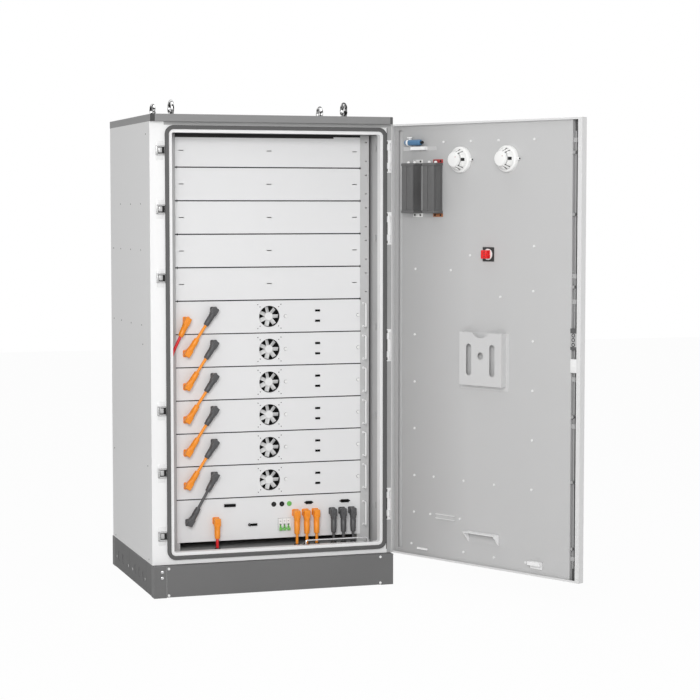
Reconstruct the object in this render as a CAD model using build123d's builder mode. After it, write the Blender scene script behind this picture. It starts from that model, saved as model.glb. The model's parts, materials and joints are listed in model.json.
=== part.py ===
"""Outdoor battery cabinet: base, sheet-metal body, rack with six battery modules and a
high-voltage box, and one door that stands open.

Frame: millimetres, +Z up, the front looks along -Y.  The origin is the centre of the base's
footprint on the floor.  The door is drawn in its own plane: x runs from the hinge axis to the
free edge, y is height, and z points from the outer skin to the inside.
"""
import os
from math import cos, pi, radians, sin, tan

from build123d import *

os.makedirs("parts", exist_ok=True)

# ---------------------------------------------------------------- driving dimensions
sheet = 2.0                      # body and door sheet thickness
fit_gap = 0.3                    # clearance between a moving or soft piece and its seat
cabinet_width = 1050.0
cabinet_depth = 861.0            # base and roof, front to back
base_height = 132.0
body_gap = 2.0                   # shadow line between the base and the body
body_top = 1970.0
roof_height = 30.0
door_depth = 30.5                # the body's face stands this far behind the base's face

half_width, half_depth = cabinet_width / 2, cabinet_depth / 2
base_front, base_back = -half_depth, half_depth
face_y = base_front + door_depth

opening_left, opening_right = 93.0 - half_width, half_width - 53.0
opening_bottom, opening_top = 183.0, 1926.0
opening_radius = 8.0
lip_width = 13.0                 # bright rim between the opening and the seal
rim_height = 3.0
seal_width, seal_height = 16.0, 11.5
return_depth = 32.0              # the frame's return flange, front to back

base_sheet = 3.0
post_width = 54.0
anchor_radius = 7.0
knockout_radius = 27.0
knockouts = (193.0, 284.0, -70.0, -148.0, -225.0)     # along Y on each side

module_pitch = 140.0
module_count = 6
blank_count = 5
rack_floor = 203.0
hv_height = 183.0
panel_width = cabinet_width - 237.0
panel_sheet = 3.0
panel_gap = 2.5
panel_front = face_y + 110.0     # front face of the rack's panels, in Y
rack_x = 13.5                    # centre line of the rack, in X
case_width = panel_width - 43.0
case_depth = cabinet_depth - 221.0
case_wall = 1.5
rail_edge = case_width / 2 + 8.5      # rack centre line to the posts' inner faces
post_left, post_right = opening_left + 2.0, opening_right - 11.0
rack_post_depth = 40.0
floor_top = 170.0

fan_radius = 45.0
fan_frame = 92.0
fan_thick = 25.0
fan_hub = 18.0
fan_blades = 7
fan_plate_width = 120.0

plug_plane = panel_front - 26.0  # centre plane of the power leads, in Y
lead_radius = 6.0
boot_radius = 11.0
boot_length = 70.0
head_radius = 13.0
socket_radius = 15.0
socket_depth = 10.0
plus_x, plus_drop = 176.0 - half_width, -10.0    # orange socket, from the module's centre
minus_x, minus_rise = plus_x + 118.0, 30.0       # grey socket
hv_minus = (plus_x + 6.0, 290.0)
hv_plus = (minus_x + 6.0, 292.0)
output_plus_x, output_minus_x, output_pitch = half_width - 398.0, half_width - 233.0, 44.0
output_z = 310.0

hinge_x, hinge_y = half_width - 5.0, face_y - 25.0
door_angle = 116.6               # how far the door stands open
door_edge = cabinet_width - 8.0  # hinge axis to the free edge
door_start = 12.0                # hinge axis to the pan's near flange
door_bottom, door_top = 144.0, 1967.5
skin_face = -5.0                 # outer skin, measured from the hinge axis
hinge_flange, lip_face = 19.0, 23.0   # flange heights at the hinge side and elsewhere
door_lip = 20.0
liner_face = 13.0
liner_start, liner_end = 27.0, door_edge - 54.0
liner_slot = (50.0, 70.0)
hinge_heights = (1834.0, 1529.0, 1030.0, 346.0)
knuckle_radius, hinge_pin_radius = 7.5, 4.0
knuckle_end, knuckle_middle = 30.0, 54.0
pin_fit = 0.05

keeper_heights = (1852.0, 1611.0, 1328.0, 778.0, 519.0, 255.0)
keeper_left, keeper_right = 25.0 - half_width, 61.0 - half_width
keeper_rise = 9.5
rod_x, rod_width = liner_end + 8.5, 8.0
rod_back, rod_front = -1.0, 4.0
rod_travel = 20.0
roller_radius = 6.5
roller_bottom, roller_top = 5.0, 15.0
lock_height = 1104.0
estop = (556.0, 1428.5)          # door coordinates
detectors = ((406.5, 1813.0), (659.0, 1813.0))
canisters = (115.0, 234.0)       # near edge of each canister, door x
canister_size = (70.0, 208.0, 55.0)
canister_bottom = 1594.0
stay_ends = (hinge_x - 374.0, hinge_x - 95.0)     # door stay rod, free end and pivot, in X
stay_y = face_y + 17.0

# ---------------------------------------------------------------- derived places
body_bottom = base_height + body_gap
hv_bottom = rack_floor
hv_top = rack_floor + hv_height
panel_back = panel_front + panel_sheet
panel_left, panel_right = rack_x - panel_width / 2, rack_x + panel_width / 2
case_left, case_right = rack_x - case_width / 2, rack_x + case_width / 2
case_back = panel_back + case_depth
flange_back = panel_back + sheet
skin_inside = skin_face + sheet


def slot_bottom(k):
    return hv_top + module_pitch * k


def slot_centre(k):
    return slot_bottom(k) + module_pitch / 2


modules = range(module_count)
blanks = range(module_count, module_count + blank_count)
inner_left, inner_right = opening_left, opening_right
inner_top = opening_top + sheet
inner_start = face_y + return_depth
inner_back = base_back - door_depth

opening_x = (opening_left + opening_right) / 2
opening_z = (opening_bottom + opening_top) / 2
opening_w = opening_right - opening_left
opening_h = opening_top - opening_bottom

door_plane = Plane(
    origin=(hinge_x, hinge_y, 0),
    x_dir=(-cos(radians(door_angle)), -sin(radians(door_angle)), 0),
    z_dir=(-sin(radians(door_angle)), cos(radians(door_angle)), 0),
)
front = Plane.XZ                 # x to the right, y up, z towards the front


def front_at(y):
    return Plane.XZ.offset(-y)


def keep(builder, name):
    builder.part.label = name
    export_step(builder.part, f"parts/{name}.step")


def box_between(low, high, mode=Mode.ADD):
    """A box between two corners, in the workplane of the builder it is called in."""
    size = [b - a for a, b in zip(low, high)]
    with Locations(tuple((a + b) / 2 for a, b in zip(low, high))):
        Box(*size, mode=mode)


def ring_sketch(plane, outer, inner, radius_out, radius_in):
    """A rounded rectangular ring round the door opening, grown from it by outer and inner."""
    with BuildSketch(plane) as ring:
        with Locations((opening_x, opening_z)):
            RectangleRounded(opening_w + 2 * outer, opening_h + 2 * outer, radius_out)
            RectangleRounded(opening_w + 2 * inner, opening_h + 2 * inner, radius_in,
                             mode=Mode.SUBTRACT)
    return ring.sketch


def round_bar(start, end, radius):
    """A straight round bar between two points, added to the part being built."""
    run = end - start
    with BuildSketch(Plane(origin=start, z_dir=run)) as disc:
        Circle(radius)
    extrude(disc.sketch, amount=run.length)


# ================================================================ base
post_spots = ((-1, -1), (1, -1), (-1, 1), (1, 1))
with BuildPart() as base_frame:
    for sx, sy in post_spots:
        x, y = sx * half_width, sy * half_depth
        covered = base_sheet if (sx, sy) == (1, -1) else 0.0     # the front panel laps this post
        y_face = y - sy * covered
        with BuildSketch(Plane.XY) as angle:
            with BuildLine():
                Polyline((x, y_face), (x - sx * post_width, y_face),
                         (x - sx * post_width, y_face - sy * base_sheet),
                         (x - sx * base_sheet, y_face - sy * base_sheet),
                         (x - sx * base_sheet, y - sy * post_width),
                         (x, y - sy * post_width), (x, y_face))
            make_face()
        extrude(amount=base_height - base_sheet)
        foot_depth = post_width - base_sheet - covered
        foot_y = y_face - sy * (base_sheet + foot_depth / 2)
        anchor = (x - sx * (base_sheet + (post_width - base_sheet) / 2),
                  y - sy * (base_sheet + (post_width - base_sheet) / 2))
        with BuildSketch(Plane.XY):
            with Locations((anchor[0], foot_y)):
                Rectangle(post_width - base_sheet, foot_depth)
            with Locations(anchor):
                Circle(anchor_radius, mode=Mode.SUBTRACT)
        extrude(amount=base_sheet + 1)
    with BuildSketch(Plane.XY.offset(base_height - base_sheet)):
        Rectangle(cabinet_width, cabinet_depth)
        Rectangle(cabinet_width - 2 * post_width, cabinet_depth - 2 * post_width,
                  mode=Mode.SUBTRACT)
    extrude(amount=base_sheet)
    with BuildSketch(Plane.XY.offset(base_height)):          # spacer strip under the body
        Rectangle(cabinet_width - 24, cabinet_depth - 2 * door_depth - 24)
        Rectangle(cabinet_width - 2 * post_width, cabinet_depth - 2 * door_depth - 2 * post_width,
                  mode=Mode.SUBTRACT)
    extrude(amount=body_gap)
keep(base_frame, "base_frame")

panel_screw_z = (10.0, 122.0)
front_panel_left = -half_width + post_width + 1
front_panel_right = half_width - sheet
screw_radius = 4.5
panel_low, panel_high = 2.0, base_height - base_sheet
with BuildPart() as base_panels:
    box_between((front_panel_left, base_front, panel_low),
                (front_panel_right, base_front + base_sheet, panel_high))
    box_between((front_panel_left, base_back - base_sheet, panel_low),
                (-front_panel_left, base_back, panel_high))
    with BuildSketch(front_at(base_front)):
        for z in panel_screw_z:
            with Locations((front_panel_left + 8, z), (front_panel_right - 57, z)):
                Circle(screw_radius)
    extrude(amount=2.5)
keep(base_panels, "base_panels")

plate_edges = (-half_depth + post_width + 1, -281.0, 60.0, half_depth - post_width - 1)
knockout_z, grommet_wall, plate_reveal = 62.0, 5.0, 1.0
with BuildPart() as base_side_plates:
    for side in (-1, 1):
        outer, inner = side * half_width, side * (half_width - base_sheet)
        for a, b in zip(plate_edges, plate_edges[1:]):
            box_between((min(outer, inner), a + plate_reveal, panel_low),
                        (max(outer, inner), b - plate_reveal, panel_high))
        with BuildSketch(Plane.YZ.offset(outer)):
            with Locations(*[(y, knockout_z) for y in knockouts]):
                Circle(knockout_radius)
        extrude(amount=-side * base_sheet * 2, mode=Mode.SUBTRACT)
        with BuildSketch(Plane.YZ.offset(outer)):
            with Locations(*[(y, knockout_z) for y in knockouts]):
                Circle(knockout_radius)
                Circle(knockout_radius - grommet_wall, mode=Mode.SUBTRACT)
        extrude(amount=-side * 9)
        with BuildSketch(Plane.YZ.offset(outer - side)):
            with Locations(*[(y, knockout_z) for y in knockouts]):
                Circle(knockout_radius - grommet_wall)
        extrude(amount=-side * 2)
        with BuildSketch(Plane.YZ.offset(outer)):
            with Locations(*[(y, 52) for y in (334, 83, -4, -256)]):
                Circle(screw_radius)
        extrude(amount=side * 2)
keep(base_side_plates, "base_side_plates")

# ================================================================ body
seal_round = opening_radius + lip_width
with BuildPart() as front_frame:
    with BuildSketch(front_at(face_y)):
        with Locations((0, (body_bottom + body_top) / 2)):
            Rectangle(cabinet_width, body_top - body_bottom)
        with Locations((opening_x, opening_z)):
            RectangleRounded(opening_w, opening_h, opening_radius, mode=Mode.SUBTRACT)
    extrude(amount=-sheet)
    extrude(ring_sketch(front_at(face_y), sheet, 0, opening_radius + sheet, opening_radius),
            amount=-return_depth)
    extrude(ring_sketch(front_at(face_y), lip_width, 0, seal_round, opening_radius),
            amount=rim_height)
keep(front_frame, "front_frame")

with BuildPart() as door_seal:
    seal_outer, seal_inner = lip_width + fit_gap + seal_width, lip_width + fit_gap
    extrude(ring_sketch(front_at(face_y), seal_outer, seal_inner, opening_radius + seal_outer,
                        opening_radius + seal_inner), amount=seal_height)
    fillet(door_seal.faces().sort_by(Axis.Y)[0].edges(), 3)
keep(door_seal, "door_seal")

side_front, side_back = face_y + sheet, base_back - door_depth + 10
back_face = side_back + sheet
with BuildPart() as body_panels:
    for side in (-1, 1):
        outer, inner = side * half_width, side * (half_width - sheet)
        box_between((min(outer, inner), side_front, body_bottom),
                    (max(outer, inner), side_back, body_top))
    box_between((-half_width, side_back, body_bottom), (half_width, back_face, body_top))
    with BuildSketch(front_at(back_face)):                # ventilation slots, high and low
        with Locations((0, 420), (0, 1720)):
            with GridLocations(70, 14, 6, 8):
                SlotOverall(54, 5)
    extrude(amount=sheet * 2, mode=Mode.SUBTRACT)
    box_between((-half_width + sheet, side_front, body_bottom),
                (half_width - sheet, side_back, body_bottom + sheet))
keep(body_panels, "body_panels")

roof_chamfer = 15.0
with BuildPart() as roof:
    with BuildSketch(Plane.XY.offset(body_top)):
        Rectangle(cabinet_width, cabinet_depth)
    extrude(amount=roof_height)
    chamfer(roof.edges().filter_by(Axis.Z), roof_chamfer)
    fillet(roof.faces().sort_by(Axis.Z)[-1].edges(), 1.5)
    with BuildSketch(Plane.XY.offset(body_top)):
        with Locations((0, (face_y + back_face) / 2)):
            Rectangle(cabinet_width - 12, back_face - face_y - 12)
    extrude(amount=roof_height - 4, mode=Mode.SUBTRACT)
keep(roof, "roof_cover")

eye_x, eye_y = half_width - 142.0, 176.0
eye_ring, eye_bar, eye_flange, eye_flange_height = 28.0, 8.0, 20.0, 12.0
roof_z = body_top + roof_height
with BuildPart() as eye_bolts:
    for x in (-eye_x, eye_x):
        for y in (-eye_y, eye_y):
            with BuildSketch(Plane.XY.offset(roof_z)):
                with Locations((x, y)):
                    Circle(eye_flange)
            extrude(amount=eye_flange_height, taper=20)
            ring_z = roof_z + eye_flange_height + eye_ring + eye_bar / 2 - 8
            with Locations(Location((x, y, ring_z), (0, 90, 0))):
                Torus(eye_ring, eye_bar)
keep(eye_bolts, "eye_bolts")

# inner liner box behind the opening: two sides, ceiling, back and floor
wall_base = floor_top - sheet
slot_heights = (1870.0, 1488.0, 1106.0, 725.0, 335.0)
output_plus = [output_plus_x + output_pitch * i for i in range(3)]
output_minus = [output_minus_x + output_pitch * i for i in range(3)]
gland_x = output_plus + output_minus + [hv_plus[0]]
red_x = inner_left + lead_radius + 1.0    # the red lead runs down beside the left wall
gland_radius = 14.0
gland_bore = gland_radius - 4.0
joint_gap = 0.3                  # sealed seam between the liner's panels
with BuildPart() as inner_liner:
    for x in (inner_left - sheet, inner_right):
        box_between((x, inner_start, wall_base), (x + sheet, inner_back, inner_top))
    with BuildSketch(Plane.YZ.offset(inner_right)):
        with Locations(*[(-352, z) for z in slot_heights]):
            Rectangle(10, 29)
    extrude(amount=sheet, mode=Mode.SUBTRACT)
    span = (inner_left + joint_gap, inner_right - joint_gap)
    box_between((span[0], inner_start, inner_top - sheet), (span[1], inner_back, inner_top))
    box_between((inner_left - sheet, inner_back + joint_gap, wall_base),
                (inner_right + sheet, inner_back + joint_gap + sheet, inner_top))
    box_between((span[0], inner_start, wall_base), (span[1], inner_back, floor_top))
    with BuildSketch(Plane.XY.offset(floor_top)):
        with Locations(*[(x, plug_plane) for x in gland_x]):
            Circle(gland_bore)
        with Locations((red_x, plug_plane)):
            Rectangle(2 * (red_x - inner_left), 2 * lead_radius + 2)
    extrude(amount=-sheet, mode=Mode.SUBTRACT)
keep(inner_liner, "inner_liner")

# ================================================================ rack
post_top = inner_top - sheet
post_holes = [(x, slot_centre(k) + dz) for k in list(modules) + list(blanks)
              for dz in (-40, 40) for x in (-410, 448)]
with BuildPart() as rack_posts:
    for side, outer in ((-1, post_left), (1, post_right)):
        web = rack_x + side * rail_edge
        for near, far, grow in ((panel_back, panel_back + rack_post_depth, 1),
                                (inner_back - rack_post_depth, inner_back, -1)):
            flange = (near, near + sheet) if grow == 1 else (far - sheet, far)
            box_between((min(web, outer), flange[0], floor_top),
                        (max(web, outer), flange[1], post_top))
            box_between((min(web, web + side * sheet), near, floor_top),
                        (max(web, web + side * sheet), far, post_top))
    with BuildSketch(front_at(panel_back)):
        with Locations(*post_holes):
            Circle(3)
    extrude(amount=-sheet, mode=Mode.SUBTRACT)
keep(rack_posts, "rack_posts")

rail_leg, rail_side, rail_rise = 24.0, 40.0, 2.0
rail_bottoms = [hv_bottom] + [slot_bottom(k) for k in list(modules) + list(blanks)]
with BuildPart() as module_rails:
    for z in rail_bottoms:
        for side in (-1, 1):
            web = rack_x + side * rail_edge
            box_between((min(web, web - side * rail_leg), flange_back, z + rail_rise),
                        (max(web, web - side * rail_leg), inner_back - sheet,
                         z + rail_rise + sheet))
            box_between((min(web, web - side * sheet), flange_back, z + rail_rise),
                        (max(web, web - side * sheet), inner_back - sheet, z + rail_side))
keep(module_rails, "module_rails")

dash_x = (-367.0, 14.0, 395.0)
with BuildPart() as blank_panels:
    for k in blanks:
        z0, z1 = slot_bottom(k) + panel_gap / 2, slot_bottom(k + 1) - panel_gap / 2
        box_between((panel_left, panel_front, z0), (panel_right, panel_back, z1))
        with BuildSketch(front_at(panel_front)):
            with Locations(*[(x, slot_centre(k)) for x in dash_x]):
                SlotOverall(22, 3.4)
        extrude(amount=-panel_sheet, mode=Mode.SUBTRACT)
keep(blank_panels, "blank_panels")

loop_radius, loop_reach, loop_height, loop_x = 3.0, 36.0, 100.0, 436.0
loop_heights = [(hv_bottom + hv_top) / 2] + [slot_centre(k) for k in modules]
with BuildPart() as cable_loops:
    for z in loop_heights:
        near, far = panel_back, panel_back - loop_reach
        points = [(loop_x, near, z - loop_height / 2), (loop_x, far, z - loop_height / 2),
                  (loop_x, far, z + loop_height / 2), (loop_x, near, z + loop_height / 2)]
        with BuildLine() as path:
            FilletPolyline(*points, radius=7)
        with BuildSketch(Plane(origin=points[0], z_dir=(0, -1, 0))):
            Circle(loop_radius)
        sweep(path=path.line)
        for end in (points[0], points[-1]):
            with BuildSketch(front_at(panel_back)):
                with Locations((end[0], end[2])):
                    Circle(5)
            extrude(amount=2)
keep(cable_loops, "cable_loops")

# ================================================================ battery modules
case_floor, case_height = 4.0, 130.0
port_x, port_rise = 228.0, 22.0
cell_rows, cell_columns = 4, 4
cell_x, cell_y = (case_width - 40) / cell_columns, 600 / cell_rows
with BuildPart() as module_cases:
    for k in modules:
        z0 = slot_bottom(k) + case_floor
        box_between((case_left, panel_back, z0), (case_right, case_back, z0 + case_height))
        box_between((case_left + case_wall, panel_back, z0 + case_wall),
                    (case_right - case_wall, case_back - case_wall,
                     z0 + case_height - case_wall), mode=Mode.SUBTRACT)
        with Locations((rack_x, panel_back + 350, z0 + case_wall + 55)):
            with GridLocations(cell_x, cell_y, cell_columns, cell_rows):
                Box(cell_x - 4, cell_y - 4, 110)
keep(module_cases, "module_cases")

knob_x, knob_radius, plate_thick = (85.0, 411.0), 6.5, 0.8
with BuildPart() as module_panels:
    for k in modules:
        z0, zc = slot_bottom(k), slot_centre(k)
        box_between((panel_left, panel_front, z0 + panel_gap / 2),
                    (panel_right, panel_back, z0 + module_pitch - panel_gap / 2))
        box_between((rack_x - fan_plate_width / 2, panel_front - plate_thick, z0 + 6),
                    (rack_x + fan_plate_width / 2, panel_front, z0 + module_pitch - 6))
        with BuildSketch(front_at(panel_front)):
            with Locations((rack_x, zc)):
                Circle(fan_radius)
        extrude(amount=panel_sheet * 2, both=True, mode=Mode.SUBTRACT)
        with BuildSketch(front_at(panel_front)):
            with Locations(*[(x, zc) for x in knob_x]):
                Circle(knob_radius)
        extrude(amount=5)
keep(module_panels, "module_panels")

for k in modules:
    zc = slot_centre(k)
    with BuildPart() as rotor:
        with BuildSketch(front_at(panel_back + 4)):
            with Locations((rack_x, zc)):
                Circle(fan_hub)
        extrude(amount=-14)
        fillet(rotor.faces().sort_by(Axis.Y)[0].edges(), 2)
        with Locations(Location((rack_x, panel_back + 11, zc), (90, 0, 0))):
            with PolarLocations(0, fan_blades):
                with Locations(Location((fan_hub + 11.2, 0, 0), (38, 0, 0))):
                    Box(fan_radius - fan_hub - 2, 19, 1.6)
    keep(rotor, f"fan_rotor_{k + 1}")

with BuildPart() as fan_frames:
    for k in modules:
        zc = slot_centre(k)
        with BuildSketch(front_at(panel_back)):
            with Locations((rack_x, zc)):
                RectangleRounded(fan_frame, fan_frame, 6)
                Circle(fan_radius - 0.6, mode=Mode.SUBTRACT)
        extrude(amount=-fan_thick)
        with BuildSketch(front_at(panel_back + fan_thick - 3)):
            with Locations((rack_x, zc)):
                Circle(fan_hub)
                Rectangle(2 * fan_radius, 5)
                Rectangle(5, 2 * fan_radius)
        extrude(amount=-3)
        with BuildSketch(front_at(panel_back + fan_thick - 3)):    # the motor's fixed shaft
            with Locations((rack_x, zc)):
                Circle(fan_hub - 6)
        extrude(amount=4 - fit_gap)
keep(fan_frames, "fan_frames")

# ================================================================ high-voltage box
hv_centre = (hv_bottom + hv_top) / 2
button_x = (31.0, 67.0, 100.0)
button_z = 350.0
button_radius = 8.0
breaker = (50.0, 105.0, 237.0, 288.0)          # left, right, bottom, top of the window
with BuildPart() as hv_case:
    box_between((case_left, panel_back, hv_bottom + case_floor),
                (case_right, case_back, hv_top - case_floor))
    box_between((case_left + case_wall, panel_back, hv_bottom + case_floor + case_wall),
                (case_right - case_wall, case_back - case_wall,
                 hv_top - case_floor - case_wall), mode=Mode.SUBTRACT)
keep(hv_case, "hv_case")

with BuildPart() as hv_panel:
    box_between((panel_left, panel_front, hv_bottom + panel_gap / 2),
                (panel_right, panel_back, hv_top - panel_gap / 2))
    with BuildSketch(front_at(panel_front)):
        with Locations(*[(x, button_z) for x in button_x]):
            Circle(button_radius)
        with Locations(((breaker[0] + breaker[1]) / 2, (breaker[2] + breaker[3]) / 2)):
            Rectangle(breaker[1] - breaker[0], breaker[3] - breaker[2])
    extrude(amount=-panel_sheet, mode=Mode.SUBTRACT)
keep(hv_panel, "hv_panel")

button_travel, button_stand = 2.0, 3.0
for name, x in zip(("button_start", "button_reset", "button_run"), button_x):
    with BuildPart() as button:
        with BuildSketch(front_at(panel_front - button_stand)):
            with Locations((x, button_z)):
                Circle(button_radius - fit_gap)
        extrude(amount=-(button_stand + panel_sheet + 6))
        fillet(button.faces().sort_by(Axis.Y)[0].edges(), 1.5)
    keep(button, name)

breaker_x = (breaker[0] + breaker[1]) / 2
breaker_z = (breaker[2] + breaker[3]) / 2
toggle_pivot = (panel_front + 4, 252.0)        # Y and Z of the levers' axle
pole_pitch = 17.6
with BuildPart() as breaker_body:
    box_between((breaker[0] + fit_gap, panel_front - 4, breaker[2] + fit_gap),
                (breaker[1] - fit_gap, panel_back + 50, breaker[3] - fit_gap))
    for i in (-1, 0, 1):
        with Locations((breaker_x + i * pole_pitch, toggle_pivot[0] - 2, toggle_pivot[1])):
            Box(9, 30, 26, mode=Mode.SUBTRACT)
keep(breaker_body, "breaker_body")

with BuildPart() as breaker_toggle:
    for i in (-1, 0, 1):
        with Locations((breaker_x + i * pole_pitch, toggle_pivot[0], toggle_pivot[1])):
            Cylinder(7, 8, rotation=(0, 90, 0))
        with Locations(Location((breaker_x + i * pole_pitch, toggle_pivot[0] - 9,
                                 toggle_pivot[1] - 5), (30, 0, 0))):
            Box(8, 14, 5)
    with Locations((breaker_x, toggle_pivot[0] - 14.5, toggle_pivot[1] - 8)):
        Box(2 * pole_pitch + 8, 4, 5)
keep(breaker_toggle, "breaker_toggle")

port_width, port_height = 22.0, 9.0
with BuildPart() as ports:
    for k in modules:
        with BuildSketch(front_at(panel_front)):
            for dz in (-port_rise, port_rise):
                with Locations((port_x, slot_centre(k) + dz)):
                    RectangleRounded(port_width, port_height, 1)
                    with GridLocations(10, 0, 2, 1):
                        Rectangle(7, 4, mode=Mode.SUBTRACT)
        extrude(amount=2)
    with BuildSketch(front_at(panel_front)):
        with Locations((-163.5, 354)):
            Rectangle(49, 12)
            with GridLocations(9, 0, 5, 1):
                Rectangle(5, 6, mode=Mode.SUBTRACT)
    extrude(amount=6)
    for x, width in ((187.0, 34.0), (350.0, 42.0)):
        with BuildSketch(front_at(panel_front)):
            with Locations((x, 351)):
                RectangleRounded(width - 6, 13, 2)
        extrude(amount=5)
        with BuildSketch(front_at(panel_front)):
            with Locations((x - width / 2, 351), (x + width / 2, 351)):
                RegularPolygon(3, 6)
        extrude(amount=4)
    with BuildSketch(front_at(panel_front)):
        with Locations((-57, 267)):
            Rectangle(26, 9)
        with Locations((-77, 267)):
            Circle(6)
            Circle(3, mode=Mode.SUBTRACT)
    extrude(amount=7)
    for x in button_x:
        with BuildSketch(front_at(panel_back)):
            with Locations((x, button_z)):
                Circle(button_radius + 2)
                Circle(button_radius, mode=Mode.SUBTRACT)
        extrude(amount=-(6 + button_travel + fit_gap))
        with BuildSketch(front_at(panel_back + 6 + button_travel + fit_gap)):
            with Locations((x, button_z)):
                Circle(button_radius + 2)
        extrude(amount=-12)
keep(ports, "ports")

# ================================================================ power plugs and leads
plug_front = plug_plane - 13.0


def plug_shape(spot, towards):
    """An angled power plug: an upright head on its socket and a boot along the lead."""
    x, z = spot
    run = (Vector(towards[0], 0, towards[1]) - Vector(x, 0, z)).normalized()
    seat = panel_front - socket_depth
    turn = Plane(origin=(x, plug_plane, z), x_dir=(0, -1, 0), z_dir=run)
    with BuildSketch(front_at(seat)) as head:
        with Locations((x, z)):
            Circle(head_radius)
    extrude(head.sketch, amount=seat - plug_front)
    with BuildSketch(turn.offset(-head_radius + 4)) as elbow:
        RectangleRounded(25, 25, 4)
    extrude(elbow.sketch, amount=head_radius + 16)
    with BuildSketch(turn.offset(16)) as boot:
        Circle(boot_radius)
    extrude(boot.sketch, amount=boot_length - 16)
    with BuildSketch(turn.offset(30)) as latch:
        Rectangle(5, 26)
    extrude(latch.sketch, amount=26)


def plug_end(spot, towards):
    """The point where the lead leaves the plug's boot."""
    start = Vector(spot[0], plug_plane, spot[1])
    run = (Vector(towards[0], plug_plane, towards[1]) - start).normalized()
    return start + run * boot_length


plus_spots = [(plus_x, slot_centre(k) + plus_drop) for k in modules]
minus_spots = [(minus_x, slot_centre(k) + minus_rise) for k in modules]
jumper_pairs = [(minus_spots[k + 1], plus_spots[k]) for k in range(module_count - 1)]
top_plus = plus_spots[-1]
red_aim = (top_plus[0] - 31, top_plus[1] - 65)
floor_aim = -1000.0
output_spots_plus = [(x, output_z) for x in output_plus]
output_spots_minus = [(x, output_z) for x in output_minus]

all_sockets = plus_spots + minus_spots + [hv_plus, hv_minus] + output_spots_plus
all_sockets += output_spots_minus
with BuildPart() as sockets:
    for spot in all_sockets:
        with BuildSketch(front_at(panel_front)):
            with Locations(spot):
                RectangleRounded(2 * socket_radius, 2 * socket_radius, 5)
        extrude(amount=3)
        with BuildSketch(front_at(panel_front)):
            with Locations(spot):
                Circle(head_radius + 0.5)
        extrude(amount=socket_depth)
keep(sockets, "power_sockets")

with BuildPart() as orange_plugs:
    for minus, plus in jumper_pairs:
        plug_shape(plus, minus)
    plug_shape(top_plus, red_aim)
    plug_shape(hv_plus, (hv_plus[0], floor_aim))
    for spot in output_spots_plus:
        plug_shape(spot, (spot[0], floor_aim))
keep(orange_plugs, "orange_plugs")

with BuildPart() as grey_plugs:
    for minus, plus in jumper_pairs:
        plug_shape(minus, plus)
    plug_shape(minus_spots[0], hv_minus)
    plug_shape(hv_minus, minus_spots[0])
    for spot in output_spots_minus:
        plug_shape(spot, (spot[0], floor_aim))
keep(grey_plugs, "grey_plugs")


def jumper_bar(a, b):
    round_bar(plug_end(a, b), plug_end(b, a), lead_radius)


lead_end = wall_base - 8


def down_lead(spot):
    top = plug_end(spot, (spot[0], floor_aim))
    round_bar(top, Vector(spot[0], plug_plane, lead_end), lead_radius)


with BuildPart() as power_leads:
    for minus, plus in jumper_pairs + [(minus_spots[0], hv_minus)]:
        jumper_bar(minus, plus)
    for spot in output_spots_plus + output_spots_minus:
        down_lead(spot)
keep(power_leads, "power_leads")

with BuildPart() as glands:
    for x in gland_x:
        with BuildSketch(Plane.XY.offset(floor_top)):
            with Locations((x, plug_plane)):
                Circle(gland_radius)
                Circle(lead_radius, mode=Mode.SUBTRACT)
        extrude(amount=9, taper=12)
        with BuildSketch(Plane.XY.offset(floor_top)):
            with Locations((x, plug_plane)):
                Circle(gland_bore)
                Circle(lead_radius, mode=Mode.SUBTRACT)
        extrude(amount=-sheet)
        with BuildSketch(Plane.XY.offset(wall_base)):
            with Locations((x, plug_plane)):
                RegularPolygon(gland_radius, 6)
                Circle(lead_radius, mode=Mode.SUBTRACT)
        extrude(amount=-8)
keep(glands, "cable_glands")

# red lead: from the top module down the left side and up to the high-voltage box
red_start = plug_end(top_plus, red_aim)
red_end = plug_end(hv_plus, (hv_plus[0], floor_aim))
red_run = (red_start - Vector(top_plus[0], plug_plane, top_plus[1])).normalized()
under_z = wall_base - 24.0       # the lead crosses under the inner floor at this height
red_points = [tuple(red_start), tuple(red_start + red_run * 45), (-418.0, plug_plane, 1000.0),
              (red_x, plug_plane, 940.0), (red_x, plug_plane, under_z),
              (hv_plus[0], plug_plane, under_z), tuple(red_end)]


def corner_radii(points):
    """The largest arc that each corner of a route has room for."""
    spots = [Vector(*p) for p in points]
    radii = []
    for a, b, c in zip(spots, spots[1:], spots[2:]):
        turn = radians((b - a).get_angle(c - b))
        radii.append(0.45 * min((b - a).length, (c - b).length) / tan(turn / 2))
    return radii


red_radii = corner_radii(red_points)[:-2] + [2.5 * lead_radius] * 2    # tight turns at the floor
print("red lead arcs:", [round(r) for r in red_radii])
with BuildPart() as red_lead:
    with BuildLine() as red_path:
        FilletPolyline(*red_points, radius=red_radii)
    with BuildSketch(Plane(origin=red_points[0], z_dir=red_path.line % 0)):
        Circle(lead_radius)
    sweep(path=red_path.line)
red_length = red_path.wire().length
print("red lead length:", round(red_length), "volume / (section x length):",
      round(red_lead.part.volume / (pi * lead_radius ** 2 * red_length), 4))
keep(red_lead, "red_lead")

clip_heights = (880.0, 740.0, 600.0, 460.0, 320.0)
clip_wall, clip_height = 3.0, 12.0
with BuildPart() as clips:
    for z in clip_heights:
        with BuildSketch(Plane.XY.offset(z)):
            with Locations((red_x, plug_plane)):
                Circle(lead_radius + clip_wall)
            with Locations((red_x, (plug_plane + panel_back) / 2)):
                Rectangle(7, panel_back - plug_plane)
            with Locations((red_x, plug_plane)):
                Circle(lead_radius, mode=Mode.SUBTRACT)
            with Locations((inner_left - 9.5, plug_plane)):
                Rectangle(20, 40, mode=Mode.SUBTRACT)
        extrude(amount=clip_height)
keep(clips, "lead_clips")

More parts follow.
